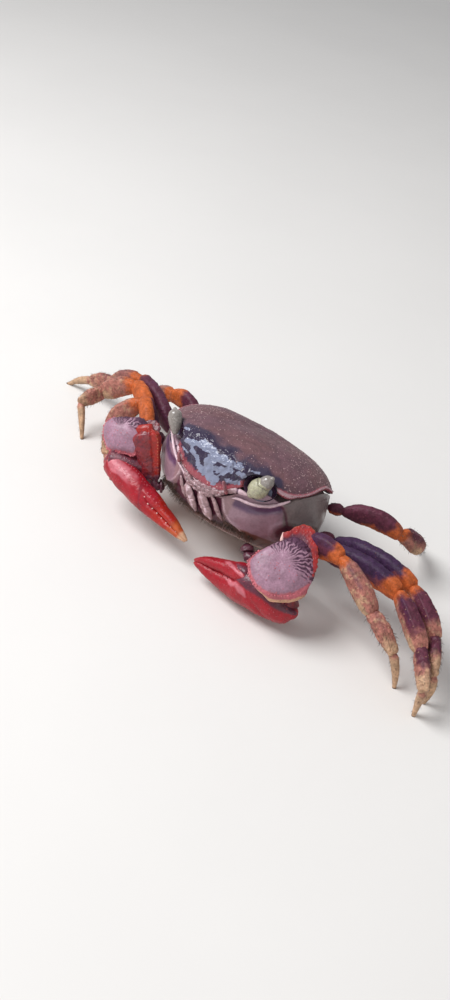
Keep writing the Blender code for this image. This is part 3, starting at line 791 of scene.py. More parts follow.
def mouth_finish():
    made = Finish("mouth", "flesh", 0.38, gloss=0.5, coat=0.2)
    made.tint("belly", 0.4, 0.8, 0.2, 0.8)
    made.tint("margin", 0.4, 0.8, 0.3, 0.8)
    made.lay("rim", made.mark("tooth", 0.5, 0.5, 0.3, 0.8))
    made.tint("groove", 0.3, 0.5, 0.1, 0.9)
    made.mottle(0.9, 0.16).mottle(0.3, 0.08, 2)
    made.rise(made.noise(0.6, 5), 0.09)
    return made.done()


def belly_finish():
    made = Finish("belly", "belly", 0.5)
    made.tint("groove", 0.3, 0.6, 0.1, 0.9)
    made.tint("shell", 0.5, 1.2, 0.3, 0.8)
    made.mottle(1.6, 0.1).mottle(0.4, 0.06, 2)
    made.rise(made.noise(0.8, 5), 0.08)
    return made.done()


def claw_finish():
    made = Finish("claw", "crimson", 0.4, gloss=0.4, coat=0.06)
    made.tint("palm_pink", 0.55, 1.5, 0.2, 0.85)
    made.tint("arm", 0.5, 1.2, 0.2, 0.9)
    made.tint("maroon", 0.4, 0.9, 0.2, 0.9)
    made.tint("orange", 0.4, 0.9, 0.2, 0.9)
    made.tint("claw_tip", 0.4, 0.7, 0.2, 0.8)
    made.tint("groove", 0.4, 0.5, 0.2, 0.9)
    made.tint("tooth", 0.3, 0.4, 0.3, 0.7)
    made.mottle(2.2, 0.1).mottle(0.5, 0.08, 2)
    made.pebbles(0.5, 0.5, 0.03)
    made.rise(made.noise(1.0, 5), 0.07)
    return made.done()


def wrist_finish():
    made = Finish("claw_wrist", "wrist", 0.46, gloss=0.45)
    made.tint("palm_pink", 0.5, 0.8, 0.25, 0.85)
    made.tint("arm", 0.5, 0.7, 0.25, 0.8)
    made.tint("claw_tip", 0.4, 0.7, 0.25, 0.8)
    made.tint("wrist_dark", 0.5, 0.4, 0.2, 0.6)
    made.tint("tooth", 0.3, 0.4, 0.3, 0.7)
    made.mottle(2.4, 0.16).mottle(0.35, 0.12, 2)
    made.rise(made.noise(0.5, 5), 0.07)
    return made.done()


def arm_finish():
    made = Finish("claw_arm", "arm", 0.4, gloss=0.5, coat=0.1)
    made.tint("orange", 0.5, 1.0, 0.25, 0.85)
    made.tint("maroon", 0.5, 0.9, 0.25, 0.85)
    made.tint("tooth", 0.3, 0.4, 0.3, 0.7)
    made.mottle(1.3, 0.14).mottle(0.4, 0.1, 2)
    made.pebbles(0.55, 0.5, 0.06)
    made.rise(made.noise(0.8, 5), 0.08)
    return made.done()


def leg_finish(name, base):
    """The legs' segments share their layers and differ in their base colour."""
    made = Finish(name, base, 0.54, gloss=0.26)
    if base == "salmon":
        made.lay("tan", made.between(made.noise(1.3, 4), 0.5, 0.68, 0, 0.7))
        made.lay("bronze", made.between(made.noise(0.8, 5), 0.54, 0.68, 0, 0.7))
    made.tint("salmon", 0.5, 1.1, 0.25, 0.8)
    made.tint("maroon", 0.6, 1.0, 0.25, 0.8)
    made.tint("navy", 0.6, 1.2, 0.25, 0.85)
    made.tint("orange", 0.6, 0.9, 0.25, 0.8)
    made.tint("tan", 0.5, 0.8, 0.25, 0.8)
    made.tint("groove", 0.4, 0.6, 0.2, 0.9)
    made.tint("tooth", 0.3, 0.4, 0.3, 0.7)
    made.mottle(1.2, 0.22, 4).mottle(0.35, 0.16, 2)
    made.pebbles(0.6, 0.5, 0.05)
    made.rise(made.noise(0.7, 5), 0.1)
    return made.done()


def bristle_finish():
    made = Finish("bristles", "bristle", 0.55)
    made.lay("bronze", made.between(made.noise(2.0), 0.45, 0.7, 0, 0.7))
    return made.done()


FINISHES = {
    "shell": shell_finish, "cheek": cheek_finish, "socket": socket_finish, "rim": rim_finish,
    "eye": eye_finish, "mouth": mouth_finish, "belly": belly_finish, "claw": claw_finish,
    "claw_wrist": wrist_finish, "claw_arm": arm_finish, "bristles": bristle_finish,
    "leg_upper": lambda: leg_finish("leg_upper", "maroon"),
    "leg_lower": lambda: leg_finish("leg_lower", "salmon"),
    "leg_tip": lambda: leg_finish("leg_tip", "tan"),
}


def finish(name):
    return bpy.data.materials.get("crab_" + name) or FINISHES[name]()


# ---- the body


def folded(azimuth):
    """The azimuth on the crab's left that mirrors each: -90 in front, 0 at the side, 90 behind."""
    return np.abs((azimuth + 270) % 360 - 180) - 90


def skin_level(points):
    """Below 0 inside the body's skin and above 0 outside it."""
    body = sizes()
    x, y, z = np.moveaxis(np.asarray(points, float), -1, 0)
    across = x / (body.half_width * body.width)
    along = y / (np.where(y < 0, body.front, body.rear) * body.width)
    total = np.maximum(np.hypot(across, along), 1e-9)
    height = np.where(z >= 0, body.dome, body.belly) * body.width
    latitude = np.degrees(np.arcsin(np.clip(z / height, -1, 1)))
    return total / spread_at(latitude, across / total, along / total) - 1


def orbit(sign):
    """Centre, radii and outward direction of an eye socket, in the body's frame."""
    centre = np.array(ORBIT_CENTRE) * sizes().width * (sign, 1, 1)
    return centre, np.array(ORBIT_RADII), unit(np.array([0.42 * sign, -1.0, 0.12]))


def sink_orbits(points, margin=1.05):
    """Points inside an eye socket move straight in to its far wall."""
    for sign in SIDES.values():
        centre, radii, outward = orbit(sign)
        scaled = (points - centre) / (radii * margin)
        inside = (scaled ** 2).sum(axis=-1) < 1
        inward = -outward / (radii * margin)
        b = (scaled * inward).sum(axis=-1)
        a = inward @ inward
        reach = (-b + np.sqrt(np.maximum(b * b - a * ((scaled ** 2).sum(axis=-1) - 1), 0))) / a
        points = points - outward * np.where(inside, reach, 0)[..., None]
    return points


# Painted reflections: pale patches of reflected light on the wet front, in the body's front view: half width,
# strength and corners in x and z.
PAINTED_REFLECTIONS = (
    (0.75, 1.0, (-6.8, -0.4), (-4.6, 0.3), (-2.8, 0.8)), (1.1, 1.0, (-2.6, 1.0), (-0.6, 1.1), (1.1, 0.7)),
    (1.7, 1.0, (0.7, 0.0), (0.9, -1.4), (1.3, -2.7)), (1.3, 1.0, (-0.4, -3.3), (1.2, -3.5), (3.0, -3.9)),
    (1.05, 1.0, (1.3, -1.9), (2.8, -1.7), (4.3, -1.2)), (0.95, 1.0, (2.1, 0.7), (4.5, 0.7), (6.4, 1.2)),
    (0.8, 1.0, (4.4, 0.6), (5.4, -0.3)), (0.7, 0.95, (5.4, -2.7), (6.6, -2.4), (7.7, -2.0)),
    (0.6, 0.95, (7.0, -0.2), (8.2, -0.1)), (0.4, 0.6, (8.9, 1.3), (10.2, 1.7)),
    (0.75, 1.0, (-4.4, -1.0), (-2.6, -1.9), (-1.2, -3.0)), (0.35, 0.9, (-6.9, -2.1), (-5.2, -2.3)),
    (0.4, 0.8, (-9.3, 1.2), (-8.1, 1.6)),
)


# The shell's lip, turned in under its edge: share of the reach, and drop.
LIP = ((0.996, 0.12), (0.988, 0.28), (0.972, 0.45), (0.93, 0.42), (0.86, 0.3))
SHELL_ROWS = 132
SHELL_COLUMNS = 480


def carapace_skin():
    body = sizes()
    columns, rows = SHELL_COLUMNS, SHELL_ROWS
    azimuth = np.linspace(-180, 180, columns, endpoint=False)
    margin = margin_latitude(azimuth)
    down = np.linspace(0.012, 1, rows)
    latitude = 90 - (90 - margin) * down[:, None] ** 1.5
    top = body_points(azimuth, latitude)
    lip = [top[-1] * (inward, inward, 1) - (0, 0, drop) for inward, drop in LIP]
    grid = np.concatenate([top, np.array(lip)])
    skin = Skin(grid, (0, 0, body.dome * body.width), (0, 0, lip[-1][:, 2].mean()))
    x, y, z = np.moveaxis(grid, -1, 0)
    flat = np.stack([np.abs(x), y], axis=-1)
    on_top = np.concatenate([np.ones(rows), np.zeros(len(lip))])[:, None]
    edge = np.concatenate([step(0.86, 1, down), np.ones(len(lip))])[:, None]
    walk = np.concatenate([down, 1 + 0.012 * np.arange(1, len(lip) + 1)])[:, None]
    front = step(-8, -13, y)

    neck = stroke(flat, [(0, 3.2), (2.6, 2.6), (4.2, 0.4), (5.6, -3.2), (9.4, -7.2), (13.2, -9.6)], 0.55)
    heart = stroke(flat, [(2.4, 3.0), (3.0, 6.0), (5.6, 9.6)], 0.5)
    brow = stroke(flat, [(0, -15.4), (0, -11.2), (1.6, -9.4), (4.4, -8.6)], 0.45)
    groove = np.maximum(neck, np.maximum(0.6 * heart, 0.7 * brow)) * on_top
    swell = 0.45 * hump(np.hypot(np.abs(x) - 10.5, y + 0.5), 0, 5.5) + 0.25 * hump(np.hypot(x, y + 6), 0, 4)
    uneven = lumps(grid, (0.16, 5.0, 1), (0.07, 2.1, 2), (0.035, 0.9, 3))

    wander = wobble(grid, 2.4, 4)
    wet = 1.35 - (np.abs(x - 0.2) / 11.2) ** 4 - (np.abs(z + 1.2) / 3.9) ** 2 + 0.4 * wander
    wet = step(0.15, 0.75, wet) * step(-6, -10, y) * on_top
    dark = 1.5 - (np.abs(x - 1) / 15.5) ** 4 - (np.maximum(z + 1.2, 0) / 4.6) ** 2 + 0.45 * wander
    dark = step(0.1, 1.2, dark) * step(-5, -10, y)
    front_view = np.stack([x, z], axis=-1)
    puddles = np.abs(wobble(grid, 1.6, 5)) + 0.35 * wobble(grid, 0.7, 6)
    ripple = step(0.05, 0.4, puddles) * stroke(front_view, [(-9.5, -1.2), (0, -1.2), (9.5, -1.2)], 4.5)
    relief = uneven * on_top * (1 - 0.6 * edge) + swell * (1 - edge) - body.groove_depth * groove
    relief = relief + wet * (0.30 * ripple + 0.12 * wander)
    relief = relief + 0.28 * hump(walk, 0.975, 0.018) * step(6, 12, np.abs(x))
    skin.raise_by(relief * on_top)

    sides = step(11.5, 14.5, np.abs(x)) * step(7.5, 1.5, y)
    rim = hump(walk, 1.0, np.where(np.abs(x) > 11, 0.06, 0.045))
    centre = step(10.5, 8.5, np.abs(x)) * step(-10, -14, y)
    skin.mark("margin", rim * np.maximum(sides, centre))
    skin.mark("tooth", 0.95 * hump(walk, 0.99, 0.035) * step(10, 14, np.abs(x)))
    skin.mark("tooth", 0.7 * hump(walk, 1.01, 0.02) * step(9, 7, np.abs(x)) * front)
    # The grooves a little darker, and painted shade on the lip turned in under the shell's edge.
    skin.mark("groove", np.maximum(0.22 * groove, 0.9 * step(1.015, 1.03, walk)))
    skin.mark("shell_front", dark)
    skin.mark("wet", wet)
    # Painted reflection: pale patches along the lines above, with ragged edges, only on the front.
    pool = np.full(grid.shape[:2], -9.0)
    ragged = lumps(grid, (0.42, 1.3, 8), (0.32, 0.6, 9), (0.14, 0.3, 10))
    for wide, strength, *line in PAINTED_REFLECTIONS:
        pool = np.maximum(pool, strength - near_line(front_view, line) / wide + ragged)
    skin.mark("pool", (0.8 + 0.35 * wander) * step(0.1, 0.26, pool) * step(-6, -10, y) * on_top * 0.95)
    skin.grid = sink_orbits(skin.grid)
    return skin


def edge_of(skin, row, spacing, keep):
    """Points and normals along one row of a skin, evenly spaced, where keep says so."""
    points, normals = skin.grid[row], grid_normals(skin.grid)[row]
    walk = np.concatenate([[0], np.cumsum(np.linalg.norm(np.diff(points, axis=0), axis=1))])
    places = np.arange(0, walk[-1], spacing)
    found, facing = interpolated(places, walk, points), interpolated(places, walk, normals)
    chosen = keep(found)
    return found[chosen], facing[chosen]


def onto_floor(*parts):
    """Skins and studs worked out in the body's frame, set out in the floor's."""
    for part in parts:
        if isinstance(part, Skin):
            part.grid = to_floor(part.grid)
            part.first, part.last = to_floor(part.first), to_floor(part.last)
        else:
            part.points = to_floor(part.points)
    return list(parts)


def build_carapace():
    body = sizes()
    skin = carapace_skin()
    x, y = skin.grid[..., 0], skin.grid[..., 1]
    away = (np.arange(len(skin.grid)) < SHELL_ROWS - 2)[:, None]
    in_orbit = np.min([np.linalg.norm(skin.grid - orbit(s)[0], axis=-1) for s in (-1, 1)], axis=0) < 5.2
    dry = 1 - 0.97 * skin.marks["wet"]
    weight = away * dry * (0.35 + 0.9 * step(3, 13, np.abs(x)) + 0.5 * step(2, 9, y)) * ~in_orbit
    granules, small = (
        scatter(skin, body.granule_count, weight, seed, low * body.granule, high * body.granule, 0.5,
                speck=pale)
        for seed, low, high, pale in ((11, 0.4, 1.0, 0.85), (12, 0.25, 0.5, 0.35)))

    def on_sides(points):
        return (np.abs(points[:, 0]) > 15.2) & (points[:, 1] < 5.5)

    def on_front(points):
        return (np.abs(points[:, 0]) < 8.6) & (points[:, 1] < -10)

    side_beads = Studs(*edge_of(skin, SHELL_ROWS - 1, 0.5, on_sides), 0.17, 0.8, margin=0.8)
    front_beads = Studs(*edge_of(skin, SHELL_ROWS - 1, 0.45, on_front), 0.13, 0.8, margin=0.8)
    parts = onto_floor(skin, granules, small, side_beads, front_beads)
    make_piece("carapace_plate", parts, "shell", "shell", "carapace")


def thorax_skin():
    body = sizes()
    columns, rows, rings = SHELL_COLUMNS, 120, 26
    azimuth = np.linspace(-180, 180, columns, endpoint=False)
    top = margin_latitude(azimuth) - 4 + 3 * step(50, 70, np.abs(azimuth + 90))
    share = np.linspace(0, 0.92, rows)
    latitude = top + (-86 - top) * share[:, None]
    wall = body_points(azimuth, latitude, -MARGIN_OVERHANG)
    wall[..., 2] -= (0.45 + GAP) * step(0.08, 0, share)[:, None]
    bottom = np.array([0, 0, -body.belly * body.width + MARGIN_OVERHANG])
    inward = np.linspace(0, 0.985, rings + 1)[1:, None, None]
    floor = wall[-1] * (1 - inward) + bottom * inward
    lid = wall[0] * (0.86, 0.86, 1) + (0, 0, 0.1)
    lid[:, 2] += 1.1 * step(50, 70, np.abs(azimuth + 90))
    grid = np.concatenate([lid[None], wall[0][None] * (0.96, 0.96, 1), wall, floor])
    skin = Skin(grid, (0, 0, lid[:, 2].mean() - 0.1), bottom)
    azimuth = np.broadcast_to(azimuth, grid.shape[:2])
    latitude = np.concatenate([latitude[:1], latitude[:1], latitude, np.full((rings, columns), -86.0)])
    return skin, folded(azimuth), latitude


def build_thorax():
    skin, turn, latitude = thorax_skin()
    x, y, z = np.moveaxis(skin.grid, -1, 0)
    place = np.stack([turn, latitude], axis=-1)
    suture = stroke(place, [(-36, -10), (-30, -16), (-21, -32), (-12, -44)], 1.3)
    mouth_edge = stroke(place, [(-71, -25), (-70, -29), (-66, -37), (-60, -43.5), (-50, -49)], 1.7)
    cheek_fold = stroke(place, [(-60, -25), (-46, -22), (-34, -14)], 2.4)
    mouth_hollow = step(-69, -73, turn + 0.3 * (latitude + 30))
    mouth_hollow = mouth_hollow * step(-24, -28, latitude) * step(-62, -56, latitude)
    wall = step(-84, -70, latitude)
    between_legs = np.zeros(turn.shape)
    hips = np.zeros(turn.shape)
    for azimuth, hip in zip(HIP_AZIMUTHS, HIP_LATITUDES):
        distance = np.hypot(turn - azimuth, latitude - hip)
        hips = np.maximum(hips, step(12, 6, distance))
        between_legs = np.maximum(between_legs, hump(distance, 11.5, 2.0))
    along = np.abs(y + 3 + 0.35 * np.abs(x))
    plates = hump(np.mod(along, 3.4) - 1.7, 0, 0.28) * step(-12, -13.6, z) * step(1.5, 3, np.abs(x))
    middle = hump(x, 0, 0.35) * step(-12, -13.6, z) * step(6, 2, y)
    relief = lumps(skin.grid, (0.12, 3.6, 21), (0.05, 1.4, 22)) - 0.22 * suture * wall - 0.2 * cheek_fold
    relief = relief + 0.25 * mouth_edge - 0.3 * plates - 0.35 * middle
    relief = relief + 0.22 * between_legs * wall - 0.25 * mouth_hollow
    skin.raise_by(relief * step(0, 0.04, skin.share))
    front = step(-18, -30, turn)
    skin.mark("side", step(-36, -30, turn + 0.35 * (latitude + 12)) * step(24, 12, turn))
    skin.mark("violet", stroke(place, [(-64, -24), (-54, -24), (-44, -20), (-36, -14)], 4.5) * front)
    skin.mark("bronze", front * step(-44, -50, latitude) * step(-70, -60, latitude))
    skin.mark("belly", step(-60, -72, latitude))
    skin.mark("flesh", step(-60, -68, turn) * step(-62, -50, latitude) * (1 - mouth_hollow))
    skin.mark("rim", 0.5 * mouth_edge * wall)
    # Painted shade round the leg holes and in the mouth's hollow.
    skin.mark("maroon", np.maximum(hips, mouth_hollow))
    skin.mark("maroon", 0.8 * np.maximum(suture * wall, plates))
    onto_floor(skin)
    make_piece("thorax_wall", skin, "cheek", "cheek", "thorax")


def orbit_rim(sign, count=96, depth=0.0):
    """The angles at which an eye socket's ellipsoid meets the body's skin, and the points at any angles."""
    centre, radii, outward = orbit(sign)
    up = unit(np.array([0, 0, 1]) - outward * outward[2])
    side = np.cross(up, outward)
    turn = circle(count)
    across = side * np.cos(turn)[:, None] + up * np.sin(turn)[:, None]

    def at(angle):
        return centre + radii * (across * np.sin(angle)[:, None] - outward * np.cos(angle)[:, None])

    low, high = np.full(count, 0.05), np.full(count, 2.9)
    for _ in range(30):
        middle = (low + high) / 2
        inside = skin_level(at(middle)) < depth
        low, high = np.where(inside, middle, low), np.where(inside, high, middle)
    return low, at, turn, outward


def build_orbits():
    for side, sign in SIDES.items():
        reach, at, turn, outward = orbit_rim(sign, depth=-0.01)
        share = np.linspace(0.04, 1, 34)
        inner = np.array([at(reach * s) for s in share])
        outer = np.array([ring - outward * 0.35 for ring in inner])[::-1]
        centre = inner[0].mean(axis=0)
        grid = np.concatenate([inner, outer])
        skin = Skin(grid, centre, centre - outward * 0.35, turn=turn)
        uneven = 0.10 * wobble(grid, 1.6, 31)
        skin.grid = grid + outward * (uneven * (1 - np.abs(2 * skin.share - 1)) ** 0.5)[..., None]
        front_view = np.abs(grid[..., [0, 2]]) * (1, -1)
        # Painted reflection: a pale streak of reflected light on the socket's wall, fainter in the right
        # socket.
        highlight_streak = near_line(front_view, [(12.5, -1.2), (12.9, -2.2), (11.9, -3.6)])
        highlight_streak = step(0.75, 0.35, highlight_streak + 0.25 * wobble(grid, 0.7, 33))
        skin.mark("pool", highlight_streak * (1.0 if sign > 0 else 0.5))
        skin.mark("violet", step(11.6, 10.2, np.abs(grid[..., 0])) * step(-1.5, -2.6, grid[..., 2]))
        onto_floor(skin)
        make_piece(f"orbit_{side}", skin, "socket", "cheek")


def on_body(line, grow, rows=60):
    """A smooth line on the skin through corners given as azimuth and latitude, and perhaps a radius."""
    table = np.array(line, float)
    places = np.concatenate([[0], np.cumsum(np.hypot(*np.diff(table[:, :2], axis=0).T))])
    curve = profile(np.column_stack([places / places[-1], table]), np.linspace(0, 1, rows))
    return body_points(curve[0], curve[1], grow), (curve[2] if len(curve) > 2 else None)


# Ridges of the face: azimuth, latitude and radius at each corner.
LOWER_RIMS = {
    "left": ((-66, -20.5, 0.12), (-62.5, -18.8, 0.26), (-54, -18, 0.32), (-44, -14.5, 0.34),
             (-36, -8.5, 0.32), (-31.5, -4.5, 0.18)),
    "right": ((-150, 3, 0.12), (-139, -3, 0.24), (-128, -9.5, 0.3), (-118, -16.5, 0.3), (-108, -22, 0.26),
              (-101, -25.5, 0.12)),
}
BROW_RIDGES = (
    ((-108, -18.5, 0.2), (-101, -23, 0.5), (-95, -26, 0.6), (-88, -27.2, 0.55), (-81, -25, 0.6),
     (-74, -20.5, 0.5), (-68, -15.5, 0.25)),
    ((-104, -25, 0.2), (-98, -28.5, 0.45), (-91, -30, 0.35), (-84, -29.2, 0.5), (-77, -25, 0.45),
     (-71, -20.5, 0.2)),
    ((-96, -22.2, 0.15), (-91, -23.8, 0.36), (-85, -23.4, 0.42), (-79, -21.4, 0.3), (-75, -18.8, 0.12)),
)
FEELER_BASES = {
    "left": ((-71.5, -18.5, 0.25), (-68, -15, 0.62), (-64, -12.6, 0.6), (-60, -12.4, 0.4),
             (-57.5, -12.6, 0.15)),
    "right": ((-108, -17, 0.2), (-111.5, -14, 0.5), (-115, -11.5, 0.45), (-118, -10, 0.2)),
}
MOUTHPARTS = {
    "left": (((-87.5, -29.5, 0.6), (-85, -33, 1.15), (-81.3, -39, 1.3), (-77.5, -45.5, 1.15),
              (-73.8, -51.5, 0.45)),
             ((-79.3, -27, 0.2), (-75.6, -31, 0.5), (-71.8, -37, 0.55), (-68.5, -42, 0.4),
              (-66, -45.5, 0.15))),
    "right": (((-98, -30, 0.6), (-97, -34, 1.15), (-93.4, -40.5, 1.25), (-90.4, -47, 1.0), (-88, -53, 0.4)),
              ((-106, -28.5, 0.2), (-104, -33, 0.5), (-101.3, -39, 0.5), (-98.5, -45.5, 0.2))),
}


def strap(line, rise=0.75, rows=90, columns=28):
    """A flattened ridge along the body's skin. Rise is its height as a share of its half width."""
    path, half = on_body(line, GAP - MARGIN_OVERHANG, rows)
    normals = unit(on_body(line, 1.0, rows)[0] - path)
    side = unit(np.cross(unit(np.gradient(path, axis=0)), normals))
    turn = circle(columns)
    c, s = np.cos(turn)[None, :, None], np.sin(turn)[None, :, None]
    grid = path[:, None] + half[:, None, None] * (side[:, None] * c + normals[:, None] * s * rise)
    return Skin(grid, path[0], path[-1], np.linspace(0, 1, rows), turn)


def build_face():
    """The rims below the eyes, the folded feelers' bases and the fleshy ridges over the mouth."""
    for side in SIDES:
        rim = strap(LOWER_RIMS[side], 1.0, 130)
        rim.raise_by(lumps(rim.grid, (0.06, 0.8, 41), (0.03, 0.35, 40)))
        rim.mark("violet", 0.6 * step(-0.2, -0.8, np.sin(rim.turn)) + 0.35 * step(0.3, 0.0, rim.share))
        base = strap(FEELER_BASES[side], 0.95, 60)
        base.raise_by(0.12 * wobble(base.grid, 0.8, 42) - 0.2 * hump(base.share, 0.55, 0.04))
        base.mark("flesh", 0.8 * step(0.9, 0.2, base.share))
        base.mark("violet", 0.7 * hump(base.share, 0.55, 0.05))
        make_piece(f"face_{side}", onto_floor(rim, base), "rim", "cheek")
    ridges = []
    for k, line in enumerate(BROW_RIDGES):
        ridge = strap(line, 0.9, 150)
        ridge.raise_by(lumps(ridge.grid, (0.2, 1.1, 44 + k), (0.2, 0.5, 46 + k), (0.07, 0.25, 47 + k)))
        ridge.mark("tooth", 0.2 + 0.8 * wobble(ridge.grid, 0.7, 48 + k))
        ridge.mark("margin", 0.1 + 0.8 * wobble(ridge.grid, 1.0, 58 + k))
        # Painted shade in the ridges' dips and on their undersides.
        dips, under = step(0.2, 0.6, -wobble(ridge.grid, 0.7, 46 + k)), step(0, -0.5, np.sin(ridge.turn))
        ridge.mark("groove", 0.7 * dips + 0.6 * under)
        ridges.append(ridge)
    make_piece("brow_ridges", onto_floor(*ridges), "mouth", "mouth")


def build_eyes():
    for side, sign in SIDES.items():
        centre = np.array(EYE_CENTRES[side]) * sizes().width
        lean = unit(np.array(EYE_DIRECTION)) * (sign, 1, 1) * EYE_LENGTHS[side] / 2
        skin = lofted(centre - lean, centre + lean, EYE_SHAPES[side], (0, -1, 0), rows=90, columns=72,
                      power=2.0, scale=EYE_SCALES[side], bulge=0.85)
        bend = skin.share + 0.06 * np.sin(skin.turn - 0.5) + 0.015 * np.sin(skin.turn * 5)
        crease = hump(bend, 0.63, 0.016) * (1 if side == "left" else 0.3)
        line = hump(skin.share + 0.16 * np.sin(skin.turn + 2.4), 0.42, 0.012)
        line = line * step(0.1, 0.7, np.sin(skin.turn + 1.3))
        relief = -0.16 * crease - 0.07 * line + lumps(skin.grid, (0.07, 1.3, 51), (0.035, 0.5, 52))
        skin.raise_by(relief)
        specks = step(0.35, 0.6, wobble(skin.grid, 0.35, 53)) * hump(bend, 0.6, 0.1)
        skin.mark("crease", np.maximum(0.75 * crease, np.maximum(0.6 * line, 0.6 * specks)))
        skin.mark("cornea", np.maximum(step(0.68, 0.76, bend), 0.75 * (side == "right")))
        skin.mark("side", step(0.55, 0.2, skin.share) * step(0.3, 1.0, -np.sin(skin.turn - 0.4)) * 0.6)
        onto_floor(skin)
        make_piece(f"eyestalk_{side}", skin, "eye", "eye", "eye_" + side)


def build_feelers():
    """The short antennae, ringed towards their ends."""
    for side, sign in SIDES.items():
        start, end = (np.array(p) * sizes().width * (sign, 1, 1) for p in (ANTENNA_ROOT, ANTENNA_END))
        share = np.linspace(0, 1, 70)[:, None]
        path = start + share * (end - start) + np.array([0, -0.25, 0.1]) * np.sin(np.pi * share)
        skin = tube(path, 0.42 - 0.16 * share[:, 0], 16)
        skin.raise_by(0.04 * np.sin(skin.share * TAU * 11) * step(0.25, 0.4, skin.share)
                      - 0.1 * hump(skin.share, 0.27, 0.03))
        skin.mark("margin", 0.6)
        skin.mark("groove", 0.6 * hump(skin.share, 0.27, 0.03))
        onto_floor(skin)
        make_piece(f"feeler_{side}", skin, "mouth", "mouth", "antenna_" + side)


def plate_skin(outline, thickness, rows, columns, power=3.0):
    """A curved plate on the body's skin. Outline gives latitude and azimuth limits for each share."""
    share, turn = np.linspace(0, 1, rows), circle(columns)
    across, upward = rounded(turn, power)
    rings = []
    for place in share:
        latitude, low, high = outline(place)
        taper = (1 - abs(2 * place - 1) ** 7) ** 0.5
        azimuth = (low + high) / 2 + (high - low) / 2 * across * max(taper, 0.25)
        lift = GAP - MARGIN_OVERHANG + thickness * (0.5 + 0.5 * upward * max(taper, 0.3))
        rings.append(body_points(azimuth, latitude, lift))
    grid = np.array(rings)
    return Skin(grid, grid[0].mean(axis=0), grid[-1].mean(axis=0), share, turn)


def build_mouthparts():
    """Each side's long outer mouthpart, with its slender palps beside it."""
    for side, lines in MOUTHPARTS.items():
        parts = []
        for k, line in enumerate(lines):
            skin = strap(line, 0.85 if k else 0.6, 130, 40)
            outer = step(-0.2, 0.5, np.sin(skin.turn))
            joint = hump(skin.share + 0.04 * np.cos(skin.turn), 0.46 if k == 0 else 0.62, 0.02)
            keel = hump(np.cos(skin.turn), -0.35, 0.22) * (k == 0)
            lift = 0.16 * keel - 0.12 * joint * outer + 0.09 * wobble(skin.grid, 0.9, 61 + k)
            skin.raise_by(lift + 0.05 * wobble(skin.grid, 0.4, 64 + k))
            skin.mark("tooth", outer * (0.3 + 0.35 * keel + 0.5 * wobble(skin.grid, 0.8, 66 + k)))
            skin.mark("belly", 0.3 * outer)
            skin.mark("margin", 0.4 * step(0.65, 1.0, skin.share))
            # Dark at the joint, and painted shade on the mouthpart's underside.
            skin.mark("groove", np.maximum(0.35 * joint, step(0.25, -0.35, np.sin(skin.turn))))
            parts.append(skin)
        make_piece(f"mouthpart_{side}", onto_floor(*parts), "mouth", "mouth", "maxilliped_" + side)


def build_abdomen():
    def outline(share):
        half = 24 + 10 * share
        return -24 - 50 * share, 90 - half, 90 + half

    skin = plate_skin(outline, 0.95, 150, 160, power=4.0)
    outer = step(0, 0.5, np.sin(skin.turn))
    seams = np.zeros(skin.share.shape)
    for place in (0.13, 0.27, 0.42, 0.57, 0.73):
        seams = np.maximum(seams, hump(skin.share + 0.02 * np.cos(skin.turn) ** 2, place, 0.012))
    ridge = 0.25 * hump(np.cos(skin.turn), 0, 0.35)
    skin.raise_by((ridge - 0.32 * seams + 0.1 * wobble(skin.grid, 2.2, 63)) * outer)
    skin.mark("groove", seams * outer)
    skin.mark("shell", step(0.3, 0.0, skin.share))
    onto_floor(skin)
    make_piece("abdomen_flap", skin, "belly", "belly", "abdomen")


# ---- the claws


def along_top(skin, turn, shares):
    """Points and normals of a skin at one turn round it, for shares of its length."""
    columns = skin.grid.shape[1]
    column = int(round(turn / TAU * columns)) % columns
    share = skin.share[:, 0] + 1e-6 * np.arange(skin.grid.shape[0])
    normals = grid_normals(skin.grid)[:, column]
    return interpolated(shares, share, skin.grid[:, column]), interpolated(shares, share, normals)


def bead_row(skin, turn, low, high, count, first, last, height=0.9, **marks):
    """A row of beads along a skin whose radius runs from first to last."""
    shares = np.linspace(low, high, count)
    points, normals = along_top(skin, turn, shares)
    return Studs(points, normals, np.linspace(first, last, count), height, **marks)


def hand_skin(side, stations, rows, columns):
    """A closed finger's skin along the hand, with the side's own height and shoulder."""
    wrist, tip, up = (np.array(ARM_POSES[side][key], float) for key in ("wrist", "tip", "up"))
    height, shoulder = CLAW_HEIGHTS[side], CLAW_SHOULDERS[side]
    shaped = []
    for share, high, low, half in stations:
        swell = shoulder * max(0, 1 - max(0, share) / SHOULDER_END)
        low = low - FINGER_MERGE * (stations is THUMB)
        shaped.append((share, high * height + swell, low * height, half * (0.6 + 0.4 * height)))
    return lofted(wrist, tip, shaped, up, rows=rows, columns=columns, edges=True, bulge=0.7)


